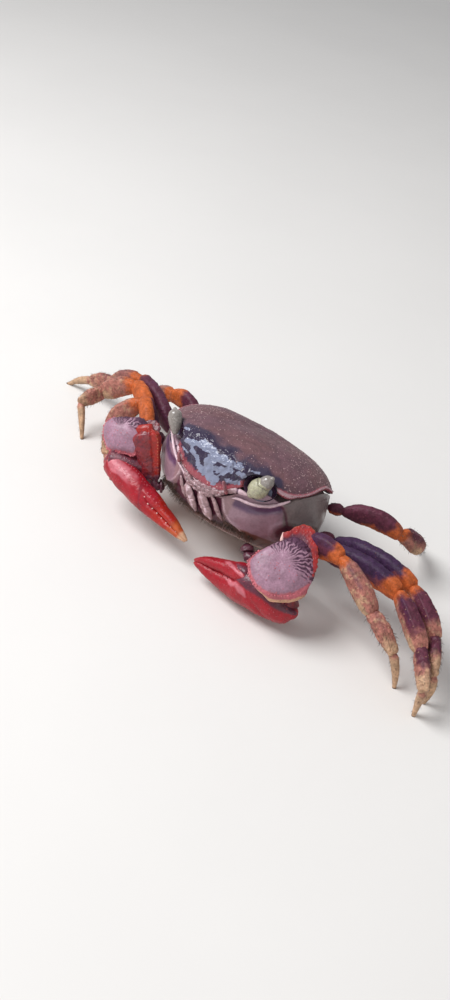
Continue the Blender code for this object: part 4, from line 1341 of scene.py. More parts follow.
def build_palm(side):
    """The hand with its fixed finger, and the finger that closes on it."""
    outward = -1 if side == "left" else 1
    palm, thumb = hand_skin(side, HAND, 150, 96), hand_skin(side, THUMB, 110, 72)
    bead, right = limb_sizes().bead, side == "right"
    for skin, seed in ((palm, 71), (thumb, 75)):
        outer = step(-0.3, 0.6, np.cos(skin.turn) * outward)
        high, share = np.sin(skin.turn), skin.share
        patch = wobble(skin.grid, 1.6, seed + 3)
        skin.raise_by(lumps(skin.grid, (0.16, 3.2, seed), (0.07, 1.1, seed + 1), (0.035, 0.45, seed + 2)))
        # The pink streak is a painted highlight where light falls on the upper face: a patch near the wrist
        # on the right hand, a slanting band on the left.
        if right:
            highlight_streak = step(-0.1, 0.35, high + 0.2 * patch) * step(0.46, 0.2, share + 0.08 * patch)
            skin.mark("maroon", 0.5 * outer * hump(share + 0.1 * high, 0.5, 0.03) * (skin is palm))
        else:
            slant = share - 0.42 - 0.25 * high + 0.02 * patch
            highlight_streak = hump(slant, 0.0, 0.05) * step(-0.25, 0.0, high)
            # A dip and painted shade on the upper face behind the highlight streak, towards the wrist.
            skin.raise_by(-0.18 * hump(slant, -0.06, 0.03) * outer)
            skin.mark("maroon", 0.85 * outer * step(-0.04, -0.08, slant) * step(0.0, 0.3, high))
        skin.mark("palm_pink", outer * highlight_streak * 0.95)
        if skin is thumb:
            skin.mark("groove", 0.4 * hump(share, 0.44, 0.03) * right)
        skin.mark("arm", step(0.45, 0.75, share + 0.1 * patch) * (0.9 if right else 0.1))
        skin.mark("orange", step(0.7, 0.9, share + 0.06 * patch) * (0.65 if right else 0.0))
        skin.mark("claw_tip", step(0.9, 0.97, share) * (1.0 if right else 0.0))
    top, face, low = math.pi / 2, math.pi / 2 - 0.75 * outward, -math.pi / 2
    seam = math.asin(0.75) if right else math.pi - math.asin(0.75)
    palm_beads = [
        bead_row(palm, top, 0.08, 0.42, 12, 0.9 * bead, 0.6 * bead, tooth=0.1, palm_pink=0.8),
        bead_row(palm, seam, 0.5, 0.95, 9, 1.1 * bead, 0.5 * bead, 1.1, tooth=1.0 if right else 0.0),
        bead_row(palm, low, 0.06, 0.6, 16, 0.9 * bead, 0.6 * bead, 0.8, tooth=0.3),
        scatter(palm, 420, step(1.02, 0.5, palm.share), 81, 0.06, 0.15, 0.6, palm_pink=0.5, tooth=0.2),
    ]
    thumb_beads = [
        bead_row(thumb, face, 0.5, 0.84, 10, 0.8 * bead, 0.45 * bead, tooth=0.3, palm_pink=0.8),
        scatter(thumb, 200, step(1.02, 0.6, thumb.share), 82, 0.06, 0.14, 0.6, palm_pink=0.5, tooth=0.2),
    ]
    make_piece(f"claw_{side}_hand", [palm, *palm_beads], "claw", "claw", f"claw_{side}_palm")
    make_piece(f"claw_{side}_thumb", [thumb, *thumb_beads], "claw", "claw", f"claw_{side}_finger")


def wrist_axes(pose):
    """The wrist's centre and its down, across and face directions."""
    face = unit(pose["face"])
    down = np.subtract(pose["wrist"], pose["knee"])
    down = unit(down - face * (down @ face))
    return np.array(pose["carpus"], float), np.array([down, np.cross(face, down), face])


def upright(side):
    """The turn at which the wrist's clock stands at noon."""
    return math.pi if side == "left" else math.radians(-123.5)


def carpus_skin(side, pose):
    """A rounded block seen flat-on along its face, with the clock angle of each column."""
    centre, axes = wrist_axes(pose)
    columns, rows = 360, 100
    turn = circle(columns)
    polar = np.linspace(0.02, math.pi - 0.02, rows)[:, None]
    ball = np.stack([np.cos(turn) * np.sin(polar), np.sin(turn) * np.sin(polar),
                     np.cos(polar) + 0 * turn], axis=-1)
    swell = (np.abs(ball) ** 2.3).sum(axis=-1, keepdims=True) ** (-1 / 2.3)
    reach = ball * swell * np.array(CLAW_CARPUS[side])
    direction, limit, amount = CARPUS_TRIM[side]
    excess = np.maximum(0, reach[..., :2] @ np.array(direction) - limit)[..., None] * amount
    reach[..., :2] -= excess * np.array(direction)
    clock = np.degrees((upright(side) - turn) % TAU)
    if side == "right":
        reach[..., :2] *= profile(RIGHT_OUTLINE, clock)[0][None, :, None]
    top = np.array([0, 0, CLAW_CARPUS[side][2]]) @ axes
    skin = Skin(centre + reach @ axes, centre + top, centre - top, polar[:, 0] / math.pi, turn)
    return skin, np.degrees((upright(side) - skin.turn) % TAU)


def flange_skin(side, pose, inner=3.6, thick=0.34):
    """A thin curved plate standing out behind the wrist."""
    centre, axes = wrist_axes(pose)
    angles = np.linspace(FLANGES[side][0][0], FLANGES[side][-1][0], 150)
    reach = profile(FLANGES[side], angles)[0]
    reach = reach + 0.16 * np.sin(angles * 0.55) * np.sin(angles * 0.21 + 1)
    turn = circle(40)
    way = upright(side) - np.radians(angles)
    radial = (np.stack([np.cos(way), np.sin(way), 0 * way], axis=-1) @ axes)[:, None]
    middle, half = (reach + inner) / 2, (reach - inner) / 2
    round_off = np.abs(np.sin(turn)) ** 0.7 * np.sign(np.sin(turn))
    lift = FLANGE_LIFTS[side] - 0.1 * np.maximum(reach - 6, 0)
    grid = centre + radial * (middle[:, None] + half[:, None] * np.cos(turn))[..., None]
    grid = grid + axes[2] * (lift[:, None] + thick * round_off)[..., None]
    ends = [grid[k].mean(axis=0) for k in (0, -1)]
    return Skin(grid, ends[0], ends[1], np.linspace(0, 1, len(angles)), turn)


def clock_span(clock, centre, half):
    """1 within half degrees of a clock angle, fading over the next 20."""
    away = np.abs((clock - centre + 180) % 360 - 180)
    return step(half + 20, half, away)


def build_wrist(side, pose):
    skin, clock = carpus_skin(side, pose)
    share, left = skin.share, side == "left"
    fan_centre, fan_half = (46, 70) if left else (20, 60)
    fan = clock_span(clock, fan_centre, fan_half)
    wander, web = wobble(skin.grid, 1.5, 91), wobble(skin.grid, 0.42, 93)
    folds = np.sin(skin.turn * 34 + 5.0 * wander + 2.6 * wobble(skin.grid, 0.7, 92))
    braid = np.maximum(folds, np.sin(skin.turn * 21 - 6.0 * wobble(skin.grid, 1.1, 97) + 4))
    face_band = step(0.05, 0.2, share + 0.04 * wander) * step(0.52, 0.45, share)
    wrinkles = fan * face_band * (0.6 * braid + 0.45 * web)
    brim = hump(share, 0.43, 0.022)
    relief = lumps(skin.grid, (0.16, 3.0, 94), (0.06, 1.0, 95), (0.03, 0.4, 98))
    relief = relief + 0.16 * wrinkles + 0.2 * brim * (1 - 0.5 * fan) - 0.22 * hump(share, 0.5, 0.03)
    if left:
        relief = relief + 1.0 * clock_span(clock, 172, 26) * hump(share, 0.62, 0.1)
    skin.raise_by(relief)
    # Painted shade in the folds' hollows, over the wrinkles' own plum, and darker plum in a band before the
    # folds.
    low = step(0.45, -0.25, 0.6 * folds + 0.35 * braid + 0.6 * web)
    dark = clock_span(clock, fan_centre - 20, fan_half * 0.4) * step(0.16, 0.3, share) * step(0.5, 0.4, share)
    skin.mark("wrist_dark", np.maximum(low * fan * face_band * 0.9, 0.75 * dark) * (1 if left else 0.8))
    beyond = step(0.42, 0.5, share)
    ragged = share + 0.03 * wobble(skin.grid, 0.7, 99)
    # Pink round the wrist's brim and beyond it, partly own colour and partly painted highlight.
    skin.mark("palm_pink", np.maximum(0.95 * hump(ragged, 0.42, 0.07), 0.8 * beyond) * (1 - 0.9 * fan))
    skin.mark("arm", step(0.5, 0.6, share) * np.maximum(fan, 0.75))
    skin.mark("claw_tip", step(0.5, 0.56, share) * step(0.9, 0.8, share) * clock_span(clock, 185, 34) * 0.9)
    # Painted shade on the right wrist's facet beside the arm.
    skin.mark("wrist_dark", 0.7 * clock_span(clock, 82, 26) * step(0.24, 0.3, ragged) * (not left))
    skin.mark("arm", 0.6 * clock_span(clock, 100, 40) * step(0.28, 0.36, ragged) * (not left))
    row = int(np.argmin(np.abs(share[:, 0] - 0.42)))
    normals = grid_normals(skin.grid)
    teeth, rng = [], np.random.default_rng(90)
    for centre, half, pitch, radius in BEAD_SPANS[side]:
        for angle in np.arange(-half, half, math.degrees(pitch / CLAW_CARPUS[side][1])):
            column = int(np.argmin(np.abs((clock[row] - centre - angle + 180) % 360 - 180)))
            size = radius * rng.uniform(0.55, 1.2)
            at = row + int(rng.integers(-2, 3))
            teeth.append((skin.grid[at, column], normals[at, column], size))
    points, facing, radii = (np.array(column) for column in zip(*teeth))
    edge = Studs(points, facing, radii, 1.1, palm_pink=1.0, tooth=0.2)
    grains = scatter(skin, 420, (0.3 + beyond) * (1 - fan), 96, 0.06, 0.15, 0.6, palm_pink=0.9, tooth=0.15)
    parts = [skin, edge, grains]
    make_piece(f"claw_{side}_wrist", parts, "claw_wrist", "claw_wrist", f"claw_{side}_carpus")
    flange = flange_skin(side, pose)
    outer = np.cos(flange.turn)
    flange.raise_by(lumps(flange.grid, (0.06, 1.2, 88), (0.04, 0.5, 89)))
    flange.mark("orange", step(0.75, 0.97, outer) * (0.5 if left else 0.2))
    pale = 0.3 * step(0.85, 0.98, outer) + 0.9 * hump(flange.share, 0.03, 0.03)
    flange.mark("tooth", pale * (1.0 if left else 0.1))
    flange.mark("maroon", np.where(left, 0.45 + 0.35 * step(0.5, 0.0, outer), 0.7))
    make_piece(f"claw_{side}_flange", [flange], "claw_arm", "claw_wrist")


def build_arm(side, pose):
    """The arm and its base, with tubercles along the arm's edges."""
    shoulder, knee = (np.array(pose[key], float) for key in ("shoulder", "knee"))
    sign = SIDES[side]
    skin_point = body_points(-90 + sign * ARM_ROOT[0], ARM_ROOT[1], GAP - MARGIN_OVERHANG)
    root = to_floor(skin_point)
    inward, outward = unit(root - shoulder), unit(knee - shoulder)
    base_start = root - inward * ARM_ROOT_GAP
    base_end = shoulder + inward * set_back(shoulder, root, knee, ARM_BASE, 1, True)
    arm_start = shoulder + outward * set_back(shoulder, knee, root, ARM_MERUS, 1, False)
    arm_end = arm_start + (knee - arm_start) * ARM_REACH
    base = lofted(base_start, base_end, ARM_BASE, (0, 0, 1), rows=40, columns=48)
    base.raise_by(lumps(base.grid, (0.12, 1.4, 101), (0.04, 0.6, 102)))
    base.mark("maroon", 0.9)
    make_piece(f"claw_{side}_root", base, "claw_arm", "claw_arm", f"claw_{side}_base")
    over, under = ARM_WIDENING[side]
    wide = [(share, high * over, -high * under, half) for share, high, half in ARM_MERUS]
    arm = lofted(arm_start, arm_end, wide, pose["breadth"], rows=90, columns=72, edges=True)
    high = np.sin(arm.turn)
    arm.raise_by(lumps(arm.grid, (0.12, 1.8, 104), (0.06, 0.6, 105))
                 + 0.3 * hump(high, 0.75, 0.12) - 0.14 * hump(high, 0.35, 0.12))
    blotch = 0.25 * wobble(arm.grid, 1.2, 107)
    arm.mark("maroon", 0.9 * step(0.5, 0.0, arm.share + blotch))
    # Painted shade on the arm's faces below its top.
    arm.mark("maroon", 0.6 * step(0.6, 0.1, high + blotch))
    arm.mark("orange", 0.45 * hump(high, 0.85, 0.16) * step(0.1, 0.4, arm.share))
    rows = [bead_row(arm, turn, 0.2, 0.94, 13, 0.1, 0.16, 1.0, tooth=0.35, orange=0.8)
            for turn in (0.8, math.pi - 0.8)]
    grains = scatter(arm, 160, 1.0, 106, 0.06, 0.13, 0.6, orange=0.4, tooth=0.15)
    make_piece(f"claw_{side}_arm", [arm, *rows, grains], "claw_arm", "claw_arm", f"claw_{side}_merus")
    elbow = tube([base_end - inward * 0.3, shoulder, arm_start + outward * 0.3], [1.0, 1.15, 1.0], 32)
    elbow.mark("maroon", 0.9)
    centre, wrist, tip = (np.array(pose[key], float) for key in ("carpus", "wrist", "tip"))
    hinge = tube([arm_end - outward * 0.4, knee, (centre + knee) / 2], [1.0, 1.2, 1.3], 32)
    hinge.mark("maroon", 0.3)
    grip = tube([centre * 0.35 + wrist * 0.65, wrist, wrist + (tip - wrist) * 0.07], [1.4, 1.5, 1.4], 32)
    grip.mark("maroon", 0.6)
    webs = []
    for from_wrist, to_shoulder, girth in ((0.5, 0.45, 1.7), (0.95, 0.78, 2.1)) if side == "right" else ():
        near = centre * (1 - from_wrist) + wrist * from_wrist
        far = arm_start * to_shoulder + arm_end * (1 - to_shoulder)
        web = tube([near, (near + far) / 2, far], [girth, 0.9 * girth, 1.0], 40, 0.4)
        web.raise_by(lumps(web.grid, (0.2, 1.2, 108), (0.08, 0.5, 109)))
        web.mark("maroon", 0.75)
        webs.append(web)
    make_piece(f"claw_{side}_hinges", [elbow, hinge, grip] + webs, "claw_arm", "claw_arm")


def set_back(joint, own, other, stations, scale, at_end):
    """How far a segment's end stands back to stay on its side of the plane halving the bend."""
    near, far = unit(own - joint), unit(other - joint)
    half_bend = math.acos(np.clip(near @ far, -1, 1)) / 2
    reach = np.linalg.norm(own - joint)
    needed = []
    for share, half_height, half_width in stations:
        radius = max(half_height, half_width) * scale
        spare = (1 - share if at_end else share) * reach
        needed.append((radius * math.cos(half_bend) + GAP / 2) / math.sin(half_bend) - spare)
    return max(needed)


def build_claws():
    for side, pose in ARM_POSES.items():
        build_arm(side, pose)
        build_wrist(side, pose)
        build_palm(side)


# ---- the legs


def leg_chain(name):
    """Ends of each segment of a leg, hip first, in the floor's frame."""
    side, number = name.split("_")
    index = int(number) - 1
    azimuth = HIP_AZIMUTHS[index] if side == "left" else 180 - HIP_AZIMUTHS[index]
    latitude, scale = HIP_LATITUDES[index], LEG_DEPTHS[index]
    ahead = body_points(azimuth + 1, latitude) - body_points(azimuth - 1, latitude)
    upward = body_points(azimuth, latitude + 1) - body_points(azimuth, latitude - 1)
    normal = unit(np.cross(ahead, upward))
    skin = body_points(azimuth, latitude, GAP - MARGIN_OVERHANG)
    knee, ankle, heel, tip = (np.array(joint, float) for joint in LEG_POSES[name])
    hip = to_floor(skin + normal * GAP)
    outward = turned(normal) * COXA_TURN + unit(knee - hip) * (1 - COXA_TURN)
    chain = [hip, hip + unit(outward) * COXA_LENGTH, knee, ankle, heel, tip]
    stations = (COXA, MERUS, CARPUS, PROPODUS, DACTYL)
    starts, ends = [hip], []
    for k in range(1, 5):
        before, joint, after = chain[k - 1:k + 2]
        short = set_back(joint, before, after, stations[k - 1], scale, True)
        late = set_back(joint, after, before, stations[k], scale, False)
        ends.append(joint + unit(before - joint) * short)
        starts.append(joint + unit(after - joint) * late)
    return list(zip(starts, ends + [tip])), chain, scale


def leg_relief(skin, kind, seed):
    """The lumps, ridges and fine lines of each kind of segment."""
    high, side, share = np.sin(skin.turn), np.cos(skin.turn), skin.share
    relief = lumps(skin.grid, (0.13, 2.2, seed), (0.07, 0.9, seed + 1))
    relief = relief + 0.04 * wobble(skin.grid, 0.4, seed + 2)
    if kind == "merus":
        lines = np.sin(share * 60 + 3 * side + 3.5 * wobble(skin.grid, 1.6, seed + 3))
        relief = relief + 0.012 * lines * step(0.0, 0.6, high)
        relief = relief + 0.1 * hump(np.abs(side), 0.5, 0.3) * (high > 0)
    elif kind == "carpus":
        ridges = hump(skin.turn, 1.0, 0.16) + hump(skin.turn, 2.15, 0.16)
        relief = relief + 0.2 * ridges * step(0.05, 0.3, share)
    elif kind == "propodus":
        relief = relief + 0.1 * np.cos(skin.turn * 3 + 0.4) * step(0.02, 0.15, share)
        relief = relief + 0.26 * np.abs(wobble(skin.grid, 0.9, seed + 4))
    elif kind == "dactyl":
        relief = 0.35 * relief + 0.06 * np.cos(skin.turn * 4) * step(1.0, 0.5, share)
    return relief


# How strong each layer is on a leg, and where along its merus the orange by the knee starts and is full.
LEG_TONES = {
    "left_1": dict(navy=0.6, orange=0.8, lower=0.4, violet=0.9, knee=(0.62, 0.97)),
    "left_2": dict(navy=1.0, orange=1.0, lower=0.85, violet=0.9, knee=(0.62, 0.97)),
    "left_3": dict(navy=1.0, orange=1.0, lower=0.85, violet=0.2, knee=(0.62, 0.97)),
    "left_4": dict(navy=0.25, orange=0.75, lower=0.8, violet=0.3, knee=(0.62, 0.97)),
    "right_1": dict(navy=0.5, orange=1.0, lower=0.3, violet=0.2, knee=(0.05, 0.4)),
    "right_2": dict(navy=0.5, orange=1.0, lower=0.3, violet=0.1, knee=(0.2, 0.6)),
    "right_3": dict(navy=0.4, orange=0.8, lower=0.5, violet=0.1, knee=(0.75, 0.97)),
    "right_4": dict(navy=0.3, orange=1.0, lower=0.4, violet=0.1, knee=(0.3, 0.7)),
}


def leg_marks(skin, kind, name, seed):
    high, share = np.sin(skin.turn), skin.share
    tone, patch = LEG_TONES[name], wobble(skin.grid, 2.4, 120 + seed)
    blotch = wobble(skin.grid, 0.8, 150 + seed)
    if kind == "coxa":
        skin.mark("orange", 0.75 * tone["orange"] * step(0.6, -0.3, high))
        skin.mark("maroon", 0.7 * step(0.0, 0.8, high))
    elif kind == "merus":
        skin.mark("navy", tone["navy"] * step(-0.35, 0.6, high + 0.3 * patch) * step(1.05, 0.8, share))
        under = step(0.15, -0.7, high + 0.25 * patch) * step(0.15, 0.5, share)
        knee = step(*tone["knee"], share + 0.1 * patch - 0.1 * high)
        skin.mark("orange", tone["orange"] * np.maximum(0.9 * under, knee))
    elif kind == "carpus":
        skin.mark("maroon", step(-0.3, 0.6, high + 0.35 * patch) * step(1.1, 0.6, share) * tone["lower"])
        skin.mark("navy", tone["violet"] * hump(high + 0.1 * patch, 0.75, 0.3) * step(0.9, 0.5, share) * 0.6)
        right = name.startswith("right")
        skin.mark("orange", 0.9 * step(0.55 if right else 0.35, 0.0, share + 0.1 * patch))
        skin.mark("orange", 0.5 * tone["orange"] * step(0.0, -0.7, high))
        skin.mark("groove", 0.5 * step(0.25, 0.7, blotch) * right)
        skin.mark("tan", step(0.45, 0.9, share + 0.15 * patch) * step(0.7, -0.2, high) * 0.8)
    elif kind == "propodus":
        skin.mark("maroon", tone["lower"] * step(-0.1, 0.8, high + 0.5 * patch) * step(1.0, 0.3, share))
        skin.mark("orange", 0.5 * step(0.12, 0.0, share))
        skin.mark("tan", step(0.3, 1.0, share + 0.25 * patch) * 0.7)
        skin.mark("groove", 0.6 * step(0.3, 0.7, blotch))
    else:
        skin.mark("salmon", 0.7 * step(0.35, 0.0, share))
        skin.mark("maroon", 0.35 * step(0.3, 0.8, blotch))
        skin.mark("groove", 0.7 * step(0.955, 0.985, share))


def dactyl_skin(start, tip, scale):
    """A tapering spike whose last ring lies flat on the floor."""
    along, upward, side = frame_along(start, tip, np.array([0, 0, 1.0]))
    stations = DACTYL + ((0.97, 0.48, 0.46),)
    share = np.linspace(0, 0.97, 60)
    high, half = profile(stations, share) * scale
    centres = start + share[:, None] * (tip - start) + upward * (2 * share * (1 - share) * scale)[:, None]
    turn = circle(32)
    grid = oval_rings(centres, upward, side, high, -high, half, turn, 2.2)
    radius = np.array([TIP_RADIUS])
    ring = oval_rings(np.zeros((1, 3)), upward, side, radius, -radius, radius, turn, 2)[0] + tip
    foot = ring - along * (ring[:, 2] / along[2])[:, None]
    grid[..., 2] = np.maximum(grid[..., 2], 0.02)
    grid = np.concatenate([grid, foot[None]])
    share = np.append(share, 1.0)
    rings, first = dome(grid[0], grid[0].mean(axis=0), along * (-0.5 * scale))
    share = np.concatenate([[0] * len(rings), share])
    return Skin(np.concatenate([rings[::-1], grid]), first, foot.mean(axis=0), share, turn)


SEGMENTS = (("coxa", COXA, "leg_upper"), ("merus", MERUS, "leg_upper"), ("carpus", CARPUS, "leg_lower"),
            ("propodus", PROPODUS, "leg_lower"), ("dactyl", DACTYL, "leg_tip"))
BOWS = {"coxa": 0.0, "merus": 1.2, "carpus": 0.5, "propodus": 0.2}


def build_leg(name, hairs):
    spans, chain, scale = leg_chain(name)
    seed = 200 + 20 * list(LEG_POSES).index(name)
    tubes = []
    for k, (kind, stations, slot) in enumerate(SEGMENTS):
        start, end = spans[k]
        along = unit(end - start)
        if k:
            start = start + (chain[k] - start) * 0.7
        if kind == "dactyl":
            skin = dactyl_skin(start, end, scale * 0.88)
            skin.raise_by(leg_relief(skin, kind, seed + k) * step(0.97, 0.85, skin.share))
        else:
            end = end + along * (max(0, (chain[k + 1] - end) @ along) * 0.85 + 0.2)
            rows = 96 if kind == "merus" else 64
            skin = lofted(start, end, WIDE_ENDS.get(kind, stations), (0, 0, 1), rows=rows, columns=56,
                          scale=scale, bow=BOWS[kind])
            skin.raise_by(leg_relief(skin, kind, seed + k))
        leg_marks(skin, kind, name, seed + k)
        parts = [skin]
        if kind in ("carpus", "propodus"):
            parts.append(scatter(skin, 90, 1.0, seed + k, 0.06, 0.15, 0.6, tooth=0.2, tan=0.5))
        if kind == "merus":
            parts.append(scatter(skin, 60, 1.0, seed + k, 0.05, 0.1, 0.6, salmon=0.5))
        made = f"leg_{name}_{kind}"
        make_piece(made + "_shell", parts, slot, slot, made)
        hairs.grow(skin, kind, seed + k)
    for k in range(4):
        near, far = spans[k][1], spans[k + 1][0]
        radius = 0.78 * scale * min(SEGMENTS[k][1][-1][1], SEGMENTS[k + 1][1][0][2] * 1.5)
        back, on = unit(spans[k][0] - near), unit(spans[k + 1][1] - far)
        path = [near + back * 0.5, near, chain[k + 1], far, far + on * 0.5]
        bridge = tube(path, [radius * 0.95, radius, radius * 1.05, radius, radius * 0.9], 28)
        bridge.raise_by(0.05 * np.sin(bridge.share * 40))
        bridge.mark("orange", 0.8 if k < 3 else 0.4)
        bridge.mark("tan", 0.0 if k < 3 else 0.8)
        tubes.append(bridge)
    make_piece(f"leg_{name}_joints", tubes, "leg_upper", "leg_upper")


BRISTLE_COUNTS = {"coxa": 12, "merus": 24, "carpus": 70, "propodus": 150, "dactyl": 60}
BRISTLE_REACHES = {"coxa": 0.6, "merus": 0.45, "dactyl": 0.6}
PATCHES_ACROSS = 8


class Hairs:
    """Tapered bristles, each a closed little spike rooted in a skin."""

    def __init__(self):
        self.roots, self.ways, self.reaches, self.spots = [], [], [], []
        self.patch = 0

    def grow(self, skin, kind, seed):
        """Bristles along a leg segment's edges and at random over it."""
        weight = {"merus": step(0.6, 0.95, np.abs(np.sin(skin.turn))), "propodus": 1.0}.get(kind, 0.7)
        weight = weight * step(0.02, 0.1, skin.share) * step(0.99, 0.9, skin.share)
        reach = limb_sizes().bristle * BRISTLE_REACHES.get(kind, 1.0)
        self.plant(skin, BRISTLE_COUNTS[kind], weight, reach, seed, 0.75)

    def plant(self, skin, count, weight, reach, seed, lean, way=None):
        """Roots, directions and lengths of a patch of hairs, and its square of the UV map."""
        rng = np.random.default_rng(seed + 5000)
        normals, down = grid_normals(skin.grid), unit(np.gradient(skin.grid, axis=0))
        area = np.broadcast_to(weight, skin.grid.shape[:2]).copy()
        area *= np.linalg.norm(np.cross(np.gradient(skin.grid, axis=0),
                                        np.roll(skin.grid, -1, axis=1) - skin.grid), axis=-1)
        found = rng.choice(area.size, size=count, p=area.ravel() / area.sum())
        jitter = rng.normal(0, 0.22, (count, 3))
        lie = down.reshape(-1, 3)[found] if way is None else np.broadcast_to(np.array(way, float), (count, 3))
        facing = normals.reshape(-1, 3)[found]
        self.ways.append(unit(facing + lean * lie + jitter))
        self.roots.append(skin.grid.reshape(-1, 3)[found] - facing * 0.08)
        self.reaches.append(reach * rng.uniform(0.5, 1.1, count))
        spot = np.stack([skin.turn.ravel()[found] / TAU, skin.share.ravel()[found]], axis=-1)
        square = (self.patch % PATCHES_ACROSS, self.patch // PATCHES_ACROSS)
        self.spots.append((spot * 0.92 + 0.04 + square) / PATCHES_ACROSS)
        self.patch += 1

    def make(self, name, slot, radius, sag=0.25):
        """Joins all the hairs into one piece, each with three rings of three points and a tip."""
        roots, ways, reaches = (np.concatenate(part) for part in (self.roots, self.ways, self.reaches))
        across = unit(np.cross(ways, [0.2, 0.4, 0.9]))
        other = np.cross(ways, across)

        def along(place):
            centre = roots + ways * (reaches * place)[:, None]
            centre = centre - np.array([0, 0, 1]) * (sag * reaches * place ** 2)[:, None]
            centre[:, 2] = np.maximum(centre[:, 2], 1.5 * radius)
            return centre

        rings, layout = [], []
        for place, width in ((0, 1.0), (0.4, 0.8), (0.75, 0.45)):
            centre = along(place)
            for angle in circle(3):
                rings.append(centre + (across * math.cos(angle) + other * math.sin(angle)) * radius * width)
                layout.append((0.0012 * (place - 0.4), 0.0004 * math.cos(angle) * 3))
        points = np.stack(rings + [along(1)], axis=1)
        layout.append((0.0015, 0.0))
        faces = [(0, 2, 1)] + [(k + i, k + (i + 1) % 3, k + 3 + (i + 1) % 3, k + 3 + i)
                               for k in (0, 3) for i in range(3)]
        faces += [(6 + i, 6 + (i + 1) % 3, 9) for i in range(3)]
        every = [[i + hair for i in face]
                 for hair in range(0, len(points) * len(layout), len(layout)) for face in faces]
        mesh = bpy.data.meshes.new(name)
        mesh.from_pydata(placed(points.reshape(-1, 3)), [], every)
        spread = (np.concatenate(self.spots)[:, None] + np.array(layout)[None]).reshape(-1, 2)
        loops = np.empty(len(mesh.loops), np.int32)
        mesh.loops.foreach_get("vertex_index", loops)
        mesh.uv_layers.new(name="OFBake").data.foreach_set("uv", spread[loops].astype(np.float32).ravel())
        dressed(name, mesh, "bristles", slot)


def build_legs():
    bristles = Hairs()
    for name in LEG_POSES:
        build_leg(name, bristles)
    bristles.make("leg_bristles", "leg_lower", limb_sizes().bristle_radius)


def build_fringe():
    """Hairs along the bottom of the cheeks and under the mouth."""
    skin, turn, latitude = thorax_skin()
    onto_floor(skin)
    place = np.stack([turn, latitude], axis=-1)
    chin = stroke(place, [(-90, -56), (-72, -55), (-56, -50), (-41, -53)], 2.4)
    edge = stroke(place, [(-68, -42), (-62, -46), (-56, -47), (-44, -51)], 1.5)
    fringe = Hairs()
    fringe.plant(skin, 800, chin, limb_sizes().fringe, 301, 0.7, (0, -0.3, -1))
    fringe.plant(skin, 420, edge, 0.7 * limb_sizes().fringe, 302, 0.8, (0, -0.2, -1))
    fringe.make("cheek_fringe", "cheek", limb_sizes().bristle_radius)


# ---- the stage


FLOOR_WIDTH = 6.0
# The camera's angles in degrees, then its lens, distance and offset in millimetres.
CAMERA_TURN, CAMERA_RISE, CAMERA_ROLL = 35.2, 36.5, 11.7
LENS, SENSOR = 41.4, 36.0
CAMERA_DISTANCE = 251.487
CAMERA_OFFSET = (-3.1469, 4.6645)


def area_light(name, size, power, place, aim, tint=(1, 1, 1)):
    data = bpy.data.lights.new(name, "AREA")
    data.shape, data.size, data.energy, data.color = "DISK", size, power, tint
    made = linked(name, data)
    made.location = place
    made.rotation_euler = (Vector(place) - Vector(aim)).to_track_quat("Z", "Y").to_euler()


def floor_finish():
    made = Finish("floor", "floor", 0.6, gloss=0.3)
    made.mottle(60, 0.01)
    return made.done()


def build_stage():
    scene = bpy.context.scene
    half = FLOOR_WIDTH / 2
    corners = [(-half, -half, 0), (half, -half, 0), (half, half, 0), (-half, half, 0)]
    mesh = bpy.data.meshes.new("floor")
    mesh.from_pydata(corners, [], [(0, 1, 2, 3)])
    mesh.materials.append(floor_finish())
    linked("floor", mesh)
    world = bpy.data.worlds.new("studio")
    world.use_nodes = True
    world.node_tree.nodes["Background"].inputs["Color"].default_value = (0.93, 0.96, 1.0, 1)
    world.node_tree.nodes["Background"].inputs["Strength"].default_value = 0.42
    scene.world = world
    scene.view_settings.view_transform = "Standard"
    area_light("sky", 0.34, 3.0, (-0.24, -0.2, 0.42), (0, 0, 0.01), (0.96, 0.98, 1.0))
    area_light("fill", 0.5, 0.8, (0.4, -0.5, 0.3), (0, 0, 0.01), (1.0, 0.97, 0.94))
    build_camera(scene)


def build_camera(scene):
    """Above and to the crab's left of its front, rolled a little."""
    turn, rise, roll = (math.radians(angle) for angle in (CAMERA_TURN, CAMERA_RISE, CAMERA_ROLL))
    back = np.array([math.sin(turn) * math.cos(rise), -math.cos(turn) * math.cos(rise), math.sin(rise)])
    level = np.array([math.cos(turn), math.sin(turn), 0])
    upward = np.cross(back, level)
    right = math.cos(roll) * level + math.sin(roll) * upward
    up = -math.sin(roll) * level + math.cos(roll) * upward
    place = back * CAMERA_DISTANCE + right * CAMERA_OFFSET[0] + up * CAMERA_OFFSET[1]
    data = bpy.data.cameras.new("camera")
    data.sensor_width, data.lens = SENSOR, LENS
    data.clip_start, data.clip_end = 0.005, 20
    made = linked("camera", data)
    axes = Matrix((right, up, back)).transposed().to_4x4()
    made.matrix_world = Matrix.Translation((place + stand_shift()) * MM) @ axes
    scene.camera = made


# ---- operators


class CRAB_OT_carapace(bpy.types.Operator):
    """Build the domed back plate with its grooves, granules and beaded edge"""

    bl_idname = "crab.carapace"
    bl_label = "Back Plate"

    def execute(self, context):
        build_carapace()
        return {"FINISHED"}


class CRAB_OT_thorax(bpy.types.Operator):
    """Build the cheeks, side walls and underside"""

    bl_idname = "crab.thorax"
    bl_label = "Cheeks and Underside"

    def execute(self, context):
        build_thorax()
        build_abdomen()
        return {"FINISHED"}


class CRAB_OT_face(bpy.types.Operator):
    """Build the eye sockets, eyestalks, ridges, feelers and mouthparts"""

    bl_idname = "crab.face"
    bl_label = "Face"

    def execute(self, context):
        build_orbits()
        build_eyes()
        build_face()
        build_feelers()
        build_mouthparts()
        return {"FINISHED"}


class CRAB_OT_claws(bpy.types.Operator):
    """Build both claws with their arms, wrists and beaded hands"""

    bl_idname = "crab.claws"
    bl_label = "Claws"

    def execute(self, context):
        build_claws()
        return {"FINISHED"}


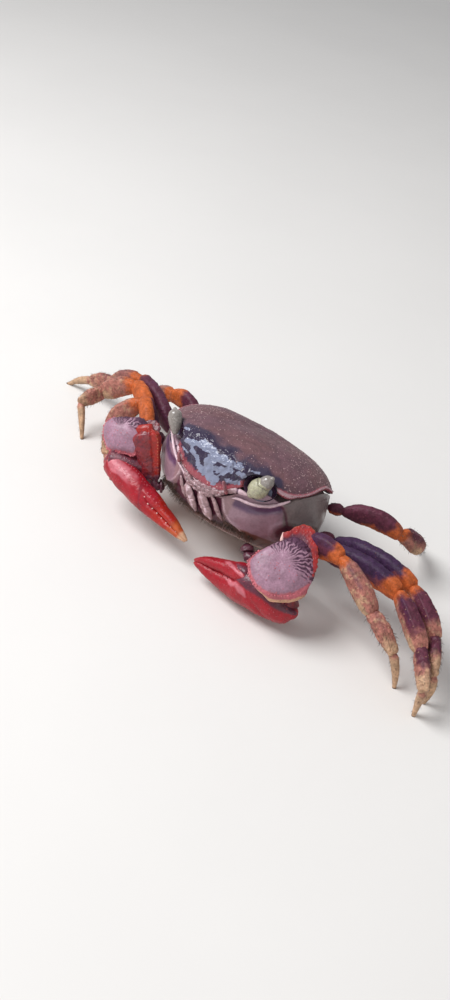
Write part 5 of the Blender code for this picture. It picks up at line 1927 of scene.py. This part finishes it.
class CRAB_OT_legs(bpy.types.Operator):
    """Build the eight walking legs with their joints and bristles"""

    bl_idname = "crab.legs"
    bl_label = "Legs"

    def execute(self, context):
        build_legs()
        return {"FINISHED"}


class CRAB_OT_fringe(bpy.types.Operator):
    """Build the hairs under the cheeks and round the mouth"""

    bl_idname = "crab.fringe"
    bl_label = "Fringe"

    def execute(self, context):
        build_fringe()
        return {"FINISHED"}


class CRAB_OT_stage(bpy.types.Operator):
    """Build the floor, the soft lights and the camera"""

    bl_idname = "crab.stage"
    bl_label = "Stage"

    def execute(self, context):
        build_stage()
        return {"FINISHED"}


class CRAB_PT_panel(bpy.types.Panel):
    """Sizes, colours and build steps of the crab"""

    bl_idname = "CRAB_PT_panel"
    bl_label = "Land Crab"
    bl_space_type = "VIEW_3D"
    bl_region_type = "UI"
    bl_category = "Land Crab"

    def draw(self, context):
        for group in (context.scene.crab_body, context.scene.crab_limbs, context.scene.crab_colours):
            box = self.layout.box()
            for name in group.__annotations__:
                box.prop(group, name)
        for operator in OPERATORS:
            self.layout.operator(operator.bl_idname)


OPERATORS = (CRAB_OT_carapace, CRAB_OT_thorax, CRAB_OT_face, CRAB_OT_claws, CRAB_OT_legs, CRAB_OT_fringe,
             CRAB_OT_stage)
CLASSES = (CrabBodySizes, CrabLimbSizes, CrabColours, *OPERATORS, CRAB_PT_panel)


def register():
    for cls in CLASSES:
        bpy.utils.register_class(cls)
    bpy.types.Scene.crab_body = bpy.props.PointerProperty(type=CrabBodySizes)
    bpy.types.Scene.crab_limbs = bpy.props.PointerProperty(type=CrabLimbSizes)
    bpy.types.Scene.crab_colours = bpy.props.PointerProperty(type=CrabColours)


def unregister():
    for name in ("crab_body", "crab_limbs", "crab_colours"):
        delattr(bpy.types.Scene, name)
    for cls in reversed(CLASSES):
        bpy.utils.unregister_class(cls)


def main():
    register()
    for operator in OPERATORS:
        group, name = operator.bl_idname.split(".")
        getattr(getattr(bpy.ops, group), name)()


if __name__ == "__main__":
    main()
